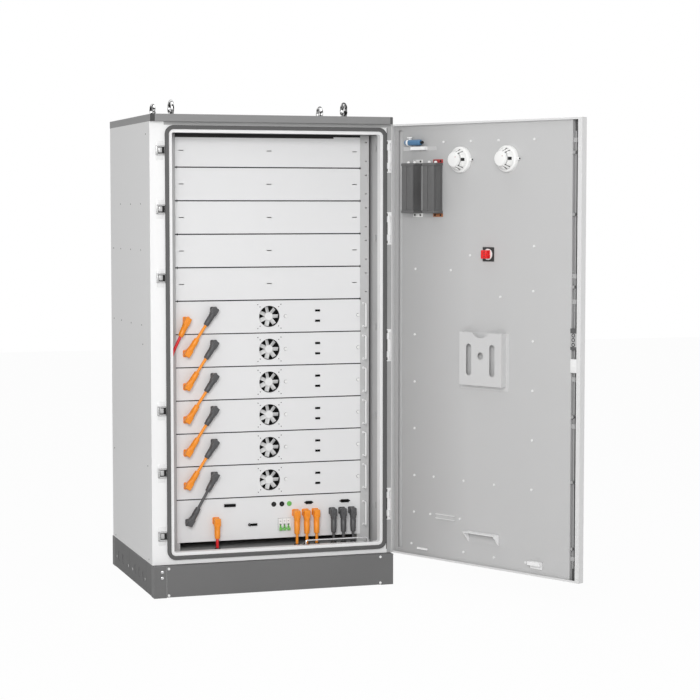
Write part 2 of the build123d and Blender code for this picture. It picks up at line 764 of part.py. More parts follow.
# ================================================================ keepers, hinges and stay
with BuildPart() as keepers:
    for z in keeper_heights:
        box_between((keeper_left + 4, face_y - 1.5, z - 41), (keeper_right - 3, face_y, z + 41))
        box_between((keeper_left, face_y - keeper_rise, z - 22.5),
                    (keeper_right, face_y, z + 22.5))
        box_between((keeper_left + 9, face_y - keeper_rise - 1, z - 15),
                    (keeper_right - 10, face_y - 4, z + 15), mode=Mode.SUBTRACT)
        box_between((keeper_left + 14, face_y - 7, z - 11), (keeper_right - 15, face_y, z + 11))
keep(keepers, "latch_keepers")

hinge_half = knuckle_middle / 2 + knuckle_end
leaf_end, leaf_thick = 12.0, 3.0
with BuildPart() as frame_hinges:
    for zc in hinge_heights:
        box_between((hinge_x - 17, face_y - leaf_thick, zc - hinge_half - leaf_end),
                    (hinge_x + 5, face_y, zc + hinge_half + leaf_end))
        for low in (zc - hinge_half, zc + knuckle_middle / 2):
            box_between((hinge_x - 6, hinge_y, low), (hinge_x + 5, face_y, low + knuckle_end))
            with BuildSketch(Plane.XY.offset(low)):
                with Locations((hinge_x, hinge_y)):
                    Circle(knuckle_radius)
            extrude(amount=knuckle_end)
            with BuildSketch(Plane.XY.offset(low)):
                with Locations((hinge_x, hinge_y)):
                    Circle(hinge_pin_radius)
            extrude(amount=knuckle_end, mode=Mode.SUBTRACT)
keep(frame_hinges, "frame_hinges")

with BuildPart() as hinge_pins:
    for zc in hinge_heights:
        with BuildSketch(Plane.XY.offset(zc - hinge_half)):
            with Locations((hinge_x, hinge_y)):
                Circle(hinge_pin_radius)
        extrude(amount=2 * hinge_half)
keep(hinge_pins, "hinge_pins")

stay_radius, stay_fit, stay_rise = 3.0, 0.05, 17.0
stay_plate = 2.5
stay_seat = opening_bottom + stay_plate
with BuildPart() as stay_bracket:
    for x, size in ((stay_ends[0], 26.0), (stay_ends[1], 34.0)):
        box_between((x - size / 2, stay_y - 12, opening_bottom),
                    (x + size / 2, stay_y + 12, stay_seat))
    with BuildSketch(Plane.XY.offset(stay_seat)):
        with Locations((stay_ends[1], stay_y)):
            Circle(stay_radius + 4)
            Circle(stay_radius + stay_fit, mode=Mode.SUBTRACT)
    extrude(amount=8)
keep(stay_bracket, "stay_bracket")

stay_foot = stay_seat + fit_gap
stay_points = [(stay_ends[0], stay_y, stay_foot), (stay_ends[0], stay_y, stay_foot + stay_rise),
               (stay_ends[1], stay_y, stay_foot + stay_rise), (stay_ends[1], stay_y, stay_foot)]
with BuildPart() as door_stay:
    with BuildLine() as stay_path:
        FilletPolyline(*stay_points, radius=8)
    with BuildSketch(Plane.XY.offset(stay_foot)):
        with Locations((stay_ends[0], stay_y)):
            Circle(stay_radius)
    sweep(path=stay_path.line)
keep(door_stay, "door_stay")

# ================================================================ door
lip_drop = 8.0
estop_hole = 11.0
spindle_hole = 9.0
handle_x = liner_end - 18.0
with BuildPart(door_plane) as door_skin:
    box_between((door_start, door_bottom, skin_face), (door_edge, door_top, skin_inside))
    box_between((door_start, door_bottom, skin_face),
                (door_start + sheet, door_top, hinge_flange))
    box_between((door_edge - sheet, door_bottom, skin_face), (door_edge, door_top, lip_face))
    for low, high, lip_low, lip_high in (
            (door_bottom, door_bottom + sheet, door_bottom, door_bottom + lip_drop),
            (door_top - sheet, door_top, door_top - lip_drop, door_top)):
        box_between((door_start, low, skin_face), (door_edge, high, lip_face))
        box_between((liner_start, lip_low, lip_face - sheet), (door_edge, lip_high, lip_face))
    box_between((door_edge - door_lip, door_bottom, lip_face - sheet),
                (door_edge, door_top, lip_face))
    with BuildSketch(door_plane.offset(skin_face)):
        with Locations(estop):
            Circle(estop_hole)
        with Locations((handle_x, lock_height)):
            Circle(spindle_hole)
    extrude(amount=sheet, mode=Mode.SUBTRACT)
keep(door_skin, "door_skin")

liner_low, liner_high = door_bottom + sheet + 4, door_top - sheet - 4
with BuildPart(door_plane) as door_liner:
    box_between((liner_start, liner_low, skin_inside), (liner_end, liner_high, liner_face))
    box_between((liner_start + sheet, liner_low + sheet, skin_inside),
                (liner_end - sheet, liner_high - sheet, liner_face - sheet), mode=Mode.SUBTRACT)
    box_between((liner_slot[0], liner_low + 20, liner_face - sheet),
                (liner_slot[1], liner_high - 20, liner_face), mode=Mode.SUBTRACT)
    box_between((handle_x - 14, lock_height - 14, liner_face - sheet),
                (handle_x + 14, lock_height + 14, liner_face), mode=Mode.SUBTRACT)
keep(door_liner, "door_liner")

with BuildPart(door_plane) as door_hinges:
    for zc in hinge_heights:
        low = zc - knuckle_middle / 2 + fit_gap
        high = zc + knuckle_middle / 2 - fit_gap
        box_between((0, low, -2.5), (door_start, high, 2.5))
        box_between((door_start - 3, low, -4.5), (door_start, high, 12))
        with BuildSketch(Plane(origin=(hinge_x, hinge_y, low))):
            Circle(knuckle_radius)
        extrude(amount=high - low)
        with BuildSketch(Plane(origin=(hinge_x, hinge_y, low))):
            Circle(hinge_pin_radius + pin_fit)
        extrude(amount=high - low, mode=Mode.SUBTRACT)
keep(door_hinges, "door_hinges")

# studs and screws on the liner, door coordinates
studs = (
    (307, 1888), (458, 1888), (607, 1888), (795, 1888), (797, 1465), (456, 1423),
    (150, 1361), (350, 1360), (621, 1258), (794, 1286), (146, 1085), (793, 1086),
    (146, 886), (793, 888), (146, 688), (792, 689), (146, 488), (257, 492),
    (426, 491), (593, 491), (791, 490), (144, 332), (238, 332), (405, 330),
    (426, 193), (594, 192), (762, 192), (129, 195),
)
stud_radius, stud_height = 5.0, 3.0
with BuildPart() as door_studs:
    with BuildSketch(door_plane.offset(liner_face)):
        with Locations(*studs):
            Circle(stud_radius)
    extrude(amount=stud_height)
keep(door_studs, "door_studs")

# document pocket
pocket = (408.0, 669.0, 876.0, 1110.0)
pocket_front = (425.0, 653.0, 893.0, 1110.0)
pocket_depth, pocket_sheet = 30.0, 1.5
pocket_mid = (pocket_front[0] + pocket_front[1]) / 2
with BuildPart(door_plane) as document_pocket:
    box_between((pocket[0], pocket[2], liner_face), (pocket[1], pocket[3], liner_face + 2))
    box_between((pocket_front[0], pocket_front[2], liner_face),
                (pocket_front[1], pocket_front[3], liner_face + pocket_depth))
    box_between((pocket_front[0] + pocket_sheet, pocket_front[2] + pocket_sheet, liner_face + 2),
                (pocket_front[1] - pocket_sheet, pocket_front[3] + 1,
                 liner_face + pocket_depth - pocket_sheet), mode=Mode.SUBTRACT)
    with BuildSketch(door_plane.offset(liner_face + pocket_depth - pocket_sheet)):
        with Locations((476, 998), (602, 998)):
            SlotOverall(130, 28, rotation=90)
        with Locations((pocket_mid, 1015)):
            Circle(15)
        with Locations((pocket_mid, 1110 + 35)):
            Circle(57)
    extrude(amount=pocket_sheet * 2, mode=Mode.SUBTRACT)
keep(document_pocket, "document_pocket")

# smoke detectors: a base ring and a ribbed head on it
with BuildPart() as smoke_detectors:
    for spot in detectors:
        for radius, bottom, height, slope in ((53, 0, 14, 0), (48, 14, 12, 0), (42, 26, 20, 22),
                                              (25, 46, 9, 12)):
            with BuildSketch(door_plane.offset(liner_face + bottom)):
                with Locations(spot):
                    Circle(radius)
            extrude(amount=height, taper=slope)
keep(smoke_detectors, "smoke_detectors")

# aerosol extinguisher units with their terminals
unit_width, unit_height, unit_depth = canister_size
cap_height, cap_step = 12.0, 2.0
with BuildPart(door_plane) as aerosol_units:
    for x in canisters:
        top = canister_bottom + unit_height
        box_between((x + cap_step, canister_bottom, liner_face + cap_step),
                    (x + unit_width - cap_step, top, liner_face + unit_depth - cap_step))
        for low in (canister_bottom, top - cap_height):
            box_between((x, low, liner_face), (x + unit_width, low + cap_height,
                                               liner_face + unit_depth))
        with BuildSketch(Plane.XY.offset(top)):
            with Locations(*[door_plane.from_local_coords((x + dx, 0, liner_face + 25))
                             for dx in (15, 57 - 6)]):
                Circle(7)
        extrude(amount=9)
keep(aerosol_units, "aerosol_units")

ear_width, ear_height = 54.0, 14.5
ear_x = (136.0, 250.0)
with BuildPart(door_plane) as unit_ears:
    for x in ear_x:
        for low in (canister_bottom - ear_height - fit_gap,
                    canister_bottom + unit_height + fit_gap):
            box_between((x, low, liner_face), (x + ear_width, low + ear_height, liner_face + 2.5))
    with BuildSketch(door_plane.offset(liner_face)):
        for x in ear_x:
            with Locations((x + 11, canister_bottom - 7.5), (x + 43, canister_bottom - 7.5),
                           (x + 11, canister_bottom + unit_height + 7.5),
                           (x + 43, canister_bottom + unit_height + 7.5)):
                Circle(3)
    extrude(amount=4, mode=Mode.SUBTRACT)
keep(unit_ears, "unit_ears")

# small blue capsule in its bracket
capsule = (104.0, 194.0, 1888.0)
capsule_radius = 12.0
capsule_z = liner_face + 15
with BuildPart() as blue_capsule:
    with BuildSketch(Plane(origin=door_plane.from_local_coords((capsule[0], capsule[2], capsule_z)),
                           z_dir=door_plane.x_dir)):
        Circle(capsule_radius)
    extrude(amount=capsule[1] - capsule[0])
    fillet(blue_capsule.edges().filter_by(GeomType.CIRCLE), 5)
keep(blue_capsule, "blue_capsule")

with BuildPart(door_plane) as door_brackets:
    box_between((79, 1855, liner_face), (266, 1871, liner_face + 2))
    box_between((136, 1857, liner_face), (218, 1871, liner_face + 20))
    box_between((138, 1859, liner_face + 2), (216, 1872, liner_face + 18), mode=Mode.SUBTRACT)
    box_between((136, 1871, liner_face), (150, capsule[2], liner_face + 2.5))
    # rail piece
    box_between((272, 314, liner_face), (380, 343, liner_face + 1.5))
    box_between((272, 319, liner_face), (380, 338, liner_face + 7.5))
    box_between((271, 321, liner_face + 1.5), (381, 336, liner_face + 8), mode=Mode.SUBTRACT)
    # gusseted shelf bracket
    box_between((455, 238, liner_face), (620, 286, liner_face + 2))
    box_between((455, 284, liner_face), (620, 286, liner_face + 41))
    for x in (455, 618):
        with BuildSketch(Plane(origin=door_plane.from_local_coords((x, 0, 0)),
                               x_dir=door_plane.z_dir, z_dir=door_plane.x_dir)):
            with BuildLine():
                Polyline((liner_face, -238), (liner_face, -286), (liner_face + 41, -286),
                         (liner_face, -238))
            make_face()
        extrude(amount=2)
    # ledge and stay catch
    box_between((167, 176, liner_face), (225, 184, liner_face + 8))
    box_between((788, 173, liner_face), (851, 203, liner_face + 3))
    box_between((788, 188, liner_face), (851, 203, liner_face + 22))
    box_between((796, 187, liner_face + 3), (843, 204, liner_face + 18), mode=Mode.SUBTRACT)
keep(door_brackets, "door_brackets")

# emergency stop: contact block inside, mushroom button outside
estop_travel = 5.0
estop_stem = estop_hole - fit_gap
with BuildPart(door_plane) as estop_body:
    box_between((estop[0] - 30, estop[1] - 29, liner_face),
                (estop[0] + 30, estop[1] + 29, liner_face + 3))
    for radius, top in ((22, liner_face + 6), (14.5, liner_face + 34)):
        with BuildSketch(door_plane.offset(liner_face)):
            with Locations(estop):
                Circle(radius)
        extrude(amount=top - liner_face)
    with BuildSketch(door_plane.offset(skin_face)):
        with Locations(estop):
            Circle(27)
            Circle(estop_hole, mode=Mode.SUBTRACT)
    extrude(amount=-4)
keep(estop_body, "estop_body")

mushroom_back = skin_face - 4 - estop_travel - fit_gap
with BuildPart() as estop_button:
    with BuildSketch(door_plane.offset(mushroom_back)):
        with Locations(estop):
            Circle(20)
    extrude(amount=-14, taper=8)
    with BuildSketch(door_plane.offset(mushroom_back)):
        with Locations(estop):
            Circle(estop_stem)
    extrude(amount=liner_face - sheet - estop_travel - fit_gap - mushroom_back)
keep(estop_button, "estop_button")

# ================================================================ lock
guide_heights = (1880.0, 1350.0, 1250.0, 945.0, 760.0, 235.0)
gear_low, gear_high = 1062.0, 1146.0
gear_start = liner_end + 0.5
with BuildPart(door_plane) as lock_case:
    channel = (rod_x - rod_width / 2 - fit_gap, rod_x + rod_width / 2 + fit_gap)
    box_between((gear_start, gear_low, skin_inside), (door_edge - sheet, gear_high, lip_face - 3))
    for z in guide_heights:
        box_between((gear_start, z - 9, skin_inside), (rod_x + 9, z + 9, rod_front + 4))
    box_between((channel[0], door_bottom + 20, rod_back - fit_gap),
                (channel[1], door_top - 20, rod_front + fit_gap), mode=Mode.SUBTRACT)
    box_between((rod_x + 6, 976, skin_inside), (rod_x + 10, 1030, lip_face - 4))
keep(lock_case, "lock_case")

upper_keepers = [z for z in keeper_heights if z > lock_height]
lower_keepers = [z for z in keeper_heights if z < lock_height]
rod_low, rod_high = 196.0, 1915.0
rod_start = 32.0
for name, spots, shift, low, high in (
        ("rod_upper", upper_keepers, -rod_travel, lock_height + rod_start, rod_high),
        ("rod_lower", lower_keepers, rod_travel, rod_low, lock_height - rod_start)):
    with BuildPart(door_plane) as rod:
        box_between((rod_x - rod_width / 2, low, rod_back), (rod_x + rod_width / 2, high, rod_front))
        for z in spots:
            with BuildSketch(door_plane.offset(rod_front)):
                with Locations((rod_x, z + shift)):
                    Circle(2)
            extrude(amount=roller_top - rod_front)
            with BuildSketch(door_plane.offset(roller_bottom)):
                with Locations((rod_x, z + shift)):
                    Circle(roller_radius)
            extrude(amount=roller_top - roller_bottom)
    keep(rod, name)

handle_length, handle_width = 150.0, 22.0
base_rise = 5.0
with BuildPart(door_plane) as handle_base:
    box_between((handle_x - 22, lock_height - 185, skin_face - base_rise),
                (handle_x + 22, lock_height + 35, skin_face))
    with BuildSketch(door_plane.offset(skin_face)):
        with Locations((handle_x, lock_height)):
            Circle(spindle_hole)
    extrude(amount=-base_rise, mode=Mode.SUBTRACT)
keep(handle_base, "handle_base")

hub_face = skin_face - base_rise - fit_gap
hub_rise = 20.0
lift_pin = 2.5
lift_point = (handle_x, lock_height, hub_face - 12)
with BuildPart(door_plane) as handle_hub:
    box_between((handle_x - 14, lock_height - 14, hub_face - hub_rise),
                (handle_x + 14, lock_height + 14, hub_face))
    box_between((handle_x - 15, lock_height - 7, hub_face - hub_rise - 1),
                (handle_x + 15, lock_height + 7, hub_face - 3), mode=Mode.SUBTRACT)
    with Locations(Location((handle_x, lock_height, lift_point[2]), (90, 0, 0))):
        Cylinder(lift_pin, 26)
    with BuildSketch(door_plane.offset(hub_face)):
        with Locations((handle_x, lock_height)):
            Circle(spindle_hole - fit_gap)
    extrude(amount=liner_face - sheet - hub_face)
keep(handle_hub, "handle_hub")

# the lever stands across the door while the rods are drawn back
with BuildPart(door_plane) as handle_lever:
    box_between((handle_x - handle_length, lock_height - 6.5, lift_point[2] - 6),
                (handle_x, lock_height + 6.5, lift_point[2] + 4))
    with Locations(Location((handle_x, lock_height, lift_point[2]), (90, 0, 0))):
        Cylinder(6.5, 13)
    box_between((handle_x - handle_length, lock_height - handle_width / 2, lift_point[2] - 8),
                (handle_x - 24, lock_height + handle_width / 2, lift_point[2] + 4))
    with Locations(Location((handle_x, lock_height, lift_point[2]), (90, 0, 0))):
        Cylinder(lift_pin + pin_fit, 14, mode=Mode.SUBTRACT)
keep(handle_lever, "handle_lever")

print("hinge axis", hinge_x, hinge_y, "face", face_y, "case back", case_back)
print("lift point", tuple(door_plane.from_local_coords(lift_point)))
print("handle turn", tuple(door_plane.from_local_coords((handle_x, lock_height, 0))))
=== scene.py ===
import bmesh
import bpy
import json
from math import cos, pi, radians, sin
from mathutils import Matrix, Vector


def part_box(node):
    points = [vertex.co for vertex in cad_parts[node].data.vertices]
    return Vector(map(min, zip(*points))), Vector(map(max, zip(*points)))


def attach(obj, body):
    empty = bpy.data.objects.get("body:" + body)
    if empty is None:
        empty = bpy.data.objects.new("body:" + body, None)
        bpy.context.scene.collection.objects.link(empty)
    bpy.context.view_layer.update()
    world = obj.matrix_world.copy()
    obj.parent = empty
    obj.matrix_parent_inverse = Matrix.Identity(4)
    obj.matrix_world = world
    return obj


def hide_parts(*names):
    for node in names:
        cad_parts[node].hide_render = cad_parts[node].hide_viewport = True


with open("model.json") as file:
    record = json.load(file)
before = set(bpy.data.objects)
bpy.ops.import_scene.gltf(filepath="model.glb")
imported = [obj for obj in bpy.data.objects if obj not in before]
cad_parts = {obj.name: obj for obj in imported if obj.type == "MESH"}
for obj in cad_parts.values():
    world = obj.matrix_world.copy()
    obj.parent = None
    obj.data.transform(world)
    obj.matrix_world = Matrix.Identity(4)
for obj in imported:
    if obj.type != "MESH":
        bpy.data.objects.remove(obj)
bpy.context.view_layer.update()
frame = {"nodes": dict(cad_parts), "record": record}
nodes = frame["nodes"]
mm = 0.001


# shader maths: one wrapped socket, so that 1 - mask works
class Wire:
    tree = None

    def __init__(self, socket):
        self.socket = socket

    @classmethod
    def node(cls, kind, settings=None, **values):
        made = cls.tree.nodes.new(kind)
        for name, value in (settings or {}).items():
            if name == "stops":
                ramp = made.color_ramp
                while len(ramp.elements) < len(value):
                    ramp.elements.new(0.5)
                for element, (place, tone) in zip(ramp.elements, value):
                    element.position = place
                    element.color = (tone, tone, tone, 1)
            else:
                setattr(made, name, value)
        for name, value in values.items():
            # i0, i6 are sockets by number, for nodes whose sockets share a name
            key = int(name[1:]) if name[0] == "i" and name[1:].isdigit() else name.replace("_", " ")
            cls.plug(made.inputs[key], value)
        return made

    @classmethod
    def plug(cls, target, value):
        if isinstance(value, Wire):
            cls.tree.links.new(value.socket, target)
        elif isinstance(value, tuple) and len(value) == 3 and target.type == "RGBA":
            target.default_value = (*value, 1)
        else:
            target.default_value = value

    @staticmethod
    def maths(operation, a, b):
        return Wire(Wire.node("ShaderNodeMath", {"operation": operation}, i0=a, i1=b).outputs[0])

    def __add__(self, other):
        return self.maths("ADD", self, other)

    def __radd__(self, other):
        return self.maths("ADD", other, self)

    def __sub__(self, other):
        return self.maths("SUBTRACT", self, other)

    def __rsub__(self, other):
        return self.maths("SUBTRACT", other, self)

    def __mul__(self, other):
        return self.maths("MULTIPLY", self, other)

    def __rmul__(self, other):
        return self.maths("MULTIPLY", other, self)

    def __gt__(self, other):
        return self.maths("GREATER_THAN", self, other)

    def __lt__(self, other):
        return self.maths("LESS_THAN", self, other)


def objectPlace():
    return Wire(Wire.node("ShaderNodeTexCoord").outputs["Object"])


def parted(place):
    split = Wire.node("ShaderNodeSeparateXYZ", {}, Vector=place)
    return [Wire(split.outputs[i]) for i in range(3)]


def noise(place, scale, detail=3.0, rough=0.5, stretch=(1, 1, 1)):
    spread = Wire(Wire.node("ShaderNodeMapping", {}, Vector=place, Scale=stretch).outputs[0])
    made = Wire.node("ShaderNodeTexNoise", {}, Vector=spread, Scale=scale, Detail=detail, Roughness=rough)
    return Wire(made.outputs[0])


def mixColour(factor, a, b, blend="MIX"):
    settings = {"data_type": "RGBA", "blend_type": blend}
    return Wire(Wire.node("ShaderNodeMix", settings, i0=factor, i6=a, i7=b).outputs[2])


def toneRamp(factor, stops):
    return Wire(Wire.node("ShaderNodeValToRGB", {"stops": stops}, Fac=factor).outputs[0])


def bump(height, strength, distance):
    made = Wire.node("ShaderNodeBump", {}, Height=height, Strength=strength, Distance=distance)
    return Wire(made.outputs[0])


materials = {}


def surface(name, recipe, **constants):
    made = bpy.data.materials.new(name)
    made.use_nodes = True
    Wire.tree = made.node_tree
    shader = made.node_tree.nodes["Principled BSDF"]
    for key, value in (*constants.items(), *recipe(objectPlace()).items()):
        Wire.plug(shader.inputs[key.replace("_", " ")], value)
    materials[name] = made


def darker(tone, share):
    return tuple(c * share for c in tone)


# powder coat: fine orange peel, faint cloudiness, a little uneven gloss
coat = {"clouds": (2.2, 4.0), "cloudDark": 0.96, "grain": 900.0, "grainDetail": 2.0,
        "glossSpread": 0.08, "depth": 0.0004}


def coatGloss(place, clouds, gloss, peel, grain):
    return {
        "Roughness": gloss - coat["glossSpread"] / 2 + clouds * coat["glossSpread"],
        "Normal": bump(noise(place, grain, coat["grainDetail"]), peel, coat["depth"]),
    }


def powderCoat(tone, peel=0.10, gloss=0.42, cloud=coat["cloudDark"], grain=coat["grain"]):
    def recipe(place):
        clouds = noise(place, *coat["clouds"])
        colour = mixColour(clouds, darker(tone, cloud), tone)
        return {"Base_Color": colour, **coatGloss(place, clouds, gloss, peel, grain)}
    return recipe


# a powder coat whose tone changes where a mask of the place says so
def maskedCoat(tone, other, mask, gloss=0.42, peel=0.10):
    def recipe(place):
        clouds = noise(place, *coat["clouds"])
        blend = mixColour(mask(place), tone, other)
        white = (1.0, 1.0, 1.0)
        shade = mixColour(clouds, darker(white, coat["cloudDark"]), white)
        colour = mixColour(1.0, blend, shade, "MULTIPLY")
        return {"Base_Color": colour, **coatGloss(place, clouds, gloss, peel, coat["grain"])}
    return recipe


# sheet steel with a drawn grain
drawn = {"grain": (60.0, 4.0, 0.6), "spots": (14.0, 5.0), "glossDrop": 0.06, "glossSpread": 0.16,
         "strength": 0.08, "depth": 0.0003}


def steelGrain(tone, stretch=(1, 1, 40), gloss=0.3, cloud=0.8):
    def recipe(place):
        grain = noise(place, *drawn["grain"], stretch)
        return {
            "Base_Color": mixColour(noise(place, *drawn["spots"]), darker(tone, cloud), tone),
            "Roughness": gloss - drawn["glossDrop"] + grain * drawn["glossSpread"],
            "Normal": bump(grain, drawn["strength"], drawn["depth"]),
        }
    return recipe


# moulded plastic: a fine spark-eroded grain
mould = {"drift": (9.0, 3.0), "driftDark": 0.88, "pitDetail": 2.0, "glossSpread": 0.1, "depth": 0.0003}


def moulded(tone, gloss=0.45, depth=0.18, grain=1400.0):
    def recipe(place):
        drift = noise(place, *mould["drift"])
        return {
            "Base_Color": mixColour(drift, darker(tone, mould["driftDark"]), tone),
            "Roughness": gloss - mould["glossSpread"] / 2 + drift * mould["glossSpread"],
            "Normal": bump(noise(place, grain, mould["pitDetail"]), depth, mould["depth"]),
        }
    return recipe


# lead jackets: the negative outputs and the short leads of the lowest row are grey
jacket = {"minusFrom": 0.26, "leftTo": -0.15, "rowTop": 0.47, "drift": (30.0, 3.0), "gloss": 0.38,
          "glossSpread": 0.12, "grain": (700.0, 2.0), "strength": 0.12, "depth": 0.0003}


def leadJacket(orange, grey):
    def recipe(place):
        x, y, z = parted(place)
        greyPart = (x > jacket["minusFrom"]) + (x < jacket["leftTo"]) * (z < jacket["rowTop"])
        return {
            "Base_Color": mixColour(greyPart, orange, grey),
            "Roughness": jacket["gloss"] + noise(place, *jacket["drift"]) * jacket["glossSpread"],
            "Normal": bump(noise(place, *jacket["grain"]), jacket["strength"], jacket["depth"]),
        }
    return recipe


# polished steel: painted reflections, as dark and bright bands in the colour
paintedReflections = {"bands": (75.0, 1.0, 0.4), "edges": (0.46, 0.54), "gloss": 0.14, "glossSpread": 0.08,
           "drift": (40.0, 2.0), "grain": (300.0, 2.0), "strength": 0.03, "depth": 0.0003}


def polished(dark, bright):
    def recipe(place):
        stops = list(zip(paintedReflections["edges"], (dark, bright)))
        return {
            "Base_Color": toneRamp(noise(place, *paintedReflections["bands"]), stops),
            "Roughness": paintedReflections["gloss"] + noise(place, *paintedReflections["drift"]) * paintedReflections["glossSpread"],
            "Normal": bump(noise(place, *paintedReflections["grain"]), paintedReflections["strength"], paintedReflections["depth"]),
        }
    return recipe


# grey levels; the two side levels are darker copies of the body and base levels, painted shade; the frame's
# and the ceiling's dark levels are painted shade; the lock's and the roof's dark levels serve their own dark
# parts and painted shade
greys = {
    "body": 0.86, "side": 0.755, "frameShade": 0.40, "roof": 0.228, "roofDarkAndShade": 0.05, "base": 0.145,
    "baseSideShaded": 0.105, "inner": 0.50, "innerShade": 0.02, "post": 0.52, "liner": 0.53, "linerShade": 0.36,
    "skin": 0.70, "lockDarkAndShade": 0.085, "lock": 0.42, "rod": 0.42, "keeper": 0.55, "zinc": 0.50,
    "hinge": 0.86, "stud": 0.80, "bracket": 0.86, "pocket": 0.60, "fan": 0.80, "extrusion": 0.135,
    "rubber": 0.10, "black": 0.018, "deepBlack": 0.006,
}
tones = {name: (level, level, level) for name, level in greys.items()}
tones.update({
    "panel": (0.76, 0.76, 0.765), "bright": (0.72, 0.72, 0.73), "white": (0.88, 0.88, 0.87),
    "darkGrey": (0.075, 0.075, 0.078), "ear": (0.74, 0.74, 0.73), "earRed": (0.40, 0.045, 0.045),
    "orange": (0.93, 0.30, 0.012), "red": (0.78, 0.004, 0.012), "stopRed": (0.86, 0.003, 0.005),
    "green": (0.16, 0.50, 0.10), "blue": (0.07, 0.18, 0.33), "copper": (0.45, 0.18, 0.08),
    "led": (0.35, 0.02, 0.02),
})

# the door's own plane: x from the hinge to the free edge, y up, z to the inside
door = {"hinge": (0.520, -0.425), "open": 116.6, "liner": 0.013, "skin": -0.005, "linerEnd": 0.988}
doorX = Vector((-cos(radians(door["open"])), -sin(radians(door["open"])), 0))
doorZ = Vector((-sin(radians(door["open"])), cos(radians(door["open"])), 0))
doorTurn = Matrix((doorX, Vector((0, 0, 1)), doorZ)).transposed().to_4x4()
doorPlane = Matrix.Translation((*door["hinge"], 0)) @ doorTurn


def onDoor(x, y, z=door["liner"]):
    return doorPlane @ Matrix.Translation((x, y, z))


def acrossInward(place):
    x, y, z = parted(place)
    fromHinge = x - door["hinge"][0], y - door["hinge"][1]
    return [fromHinge[0] * axis.x + fromHinge[1] * axis.y for axis in (doorX, doorZ)]


# where the coats change tone, on the door and in the cabinet: most of these masks paint shade, on the door
# skin and lining, the frame, the inner ceiling and the roof's left end; the lock case's bands, the grey
# sockets and the roof's corners are their own colours
doorTone = {"channel": (door["linerEnd"] - 0.001, 1.0405), "channelDeep": (-0.0035, 0.0208),
            "hingeReturn": (0.0170, 0.0212), "returnIn": 0.005, "footRise": 0.0028, "shadeWidth": 0.45,
            "gearBands": ((1.127, 1.150), (1.058, 1.074))}
frameTone = {"front": -0.3995, "right": 0.5045, "left": -0.465, "top": 1.9560, "ceiling": 1.925}
socketTone = {"minusFrom": 0.26, "left": (-0.26, -0.2), "rowTop": 0.35, "outerLeft": -0.32, "hvTop": 0.32}
roofTone = {"corner": 0.0165, "edge": 0.001, "sideShadeShare": 0.35}
roofLow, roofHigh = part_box("roof_cover")


# painted shade on the door skin: the lock channel at the free edge and the return beside the hinge are
# darkened
def lockChannelShade(place):
    across, inward = acrossInward(place)
    (start, end), (low, high) = doorTone["channel"], doorTone["channelDeep"]
    return (across > start) * (across < end) * (inward > low) * (inward < high)


def skinPaintedShade(place):
    across, inward = acrossInward(place)
    start, end = doorTone["hingeReturn"]
    return lockChannelShade(place) + (across > start) * (across < end) * (inward > doorTone["returnIn"])


def bracketFeet(place):
    return acrossInward(place)[1] < door["liner"] + doorTone["footRise"]


def hingeShade(place):
    return toneRamp(acrossInward(place)[0], [(0.0, 1.0), (doorTone["shadeWidth"], 0.0)])


def gearEnds(place):
    z = parted(place)[2]
    upper, lower = [(z > low) * (z < high) for low, high in doorTone["gearBands"]]
    return upper + lower


# painted shade on the front frame: on the flange beside the hinges and in a band along the top, under the
# roof
def frameShadeMask(place):
    x, y, z = parted(place)
    t = frameTone
    shadeUnderRoof = (z > t["top"]) * (x > t["left"]) * (x < t["right"])
    return (y < t["front"]) * ((x > t["right"]) + shadeUnderRoof)


# painted shadow on the cabinet's inner ceiling
def ceilingShade(place):
    return parted(place)[2] > frameTone["ceiling"]


def socketGrey(place):
    x, y, z = parted(place)
    t = socketTone
    modules = (x < t["left"][1]) * (x > t["left"][0]) * (z > t["rowTop"])
    return (x > t["minusFrom"]) + modules + (x < t["outerLeft"]) * (z < t["hvTop"])


# the roof's own dark corner end pieces, and painted shade on its left end face
def roofCornersAndSideShade(place):
    x, y, z = parted(place)
    reach = roofLow.y + roofTone["corner"]
    corners = (x + y < roofLow.x + reach) + (y - x < reach - roofHigh.x)
    return corners + (x < roofLow.x + roofTone["edge"]) * roofTone["sideShadeShare"]


# coats
surface("body_paint", powderCoat(tones["body"]))
surface("panel_paint", powderCoat(tones["panel"], gloss=0.45))
surface("base_paint", powderCoat(tones["base"], peel=0.3, gloss=0.55, cloud=0.9, grain=500.0))
# the sides are darker copies of the body and base coats: painted shade on the sides of the cabinet and of the
# base
surface("base_side_shaded_paint", powderCoat(tones["baseSideShaded"], peel=0.3, gloss=0.6, grain=500.0))
surface("side_shaded_paint", powderCoat(tones["side"]))
surface("post_paint", powderCoat(tones["post"]))
surface("hinge_paint", powderCoat(tones["hinge"], gloss=0.25))
surface("stud_paint", powderCoat(tones["stud"], gloss=0.22))
surface("pocket_paint", powderCoat(tones["pocket"], gloss=0.5))
surface("ear_metal", powderCoat(tones["ear"]))
surface("ear_red", powderCoat(tones["earRed"]))
surface("roof_paint", maskedCoat(tones["roof"], tones["roofDarkAndShade"], roofCornersAndSideShade, 0.4))
surface("frame_paint", maskedCoat(tones["body"], tones["frameShade"], frameShadeMask))
surface("inner_paint", maskedCoat(tones["inner"], tones["innerShade"], ceilingShade))
# painted shade in the door's lock channel and on its hinge return
surface("skin_paint", maskedCoat(tones["skin"], tones["lockDarkAndShade"], skinPaintedShade))
surface("door_lining", maskedCoat(tones["liner"], tones["linerShade"], hingeShade, 0.5))
surface("lock_paint", maskedCoat(tones["lock"], tones["lockDarkAndShade"], gearEnds, 0.35))
surface("bracket_paint", maskedCoat(tones["bracket"], tones["liner"], bracketFeet, 0.35))
surface("socket_plastic", maskedCoat(tones["orange"], tones["darkGrey"], socketGrey, 0.4))

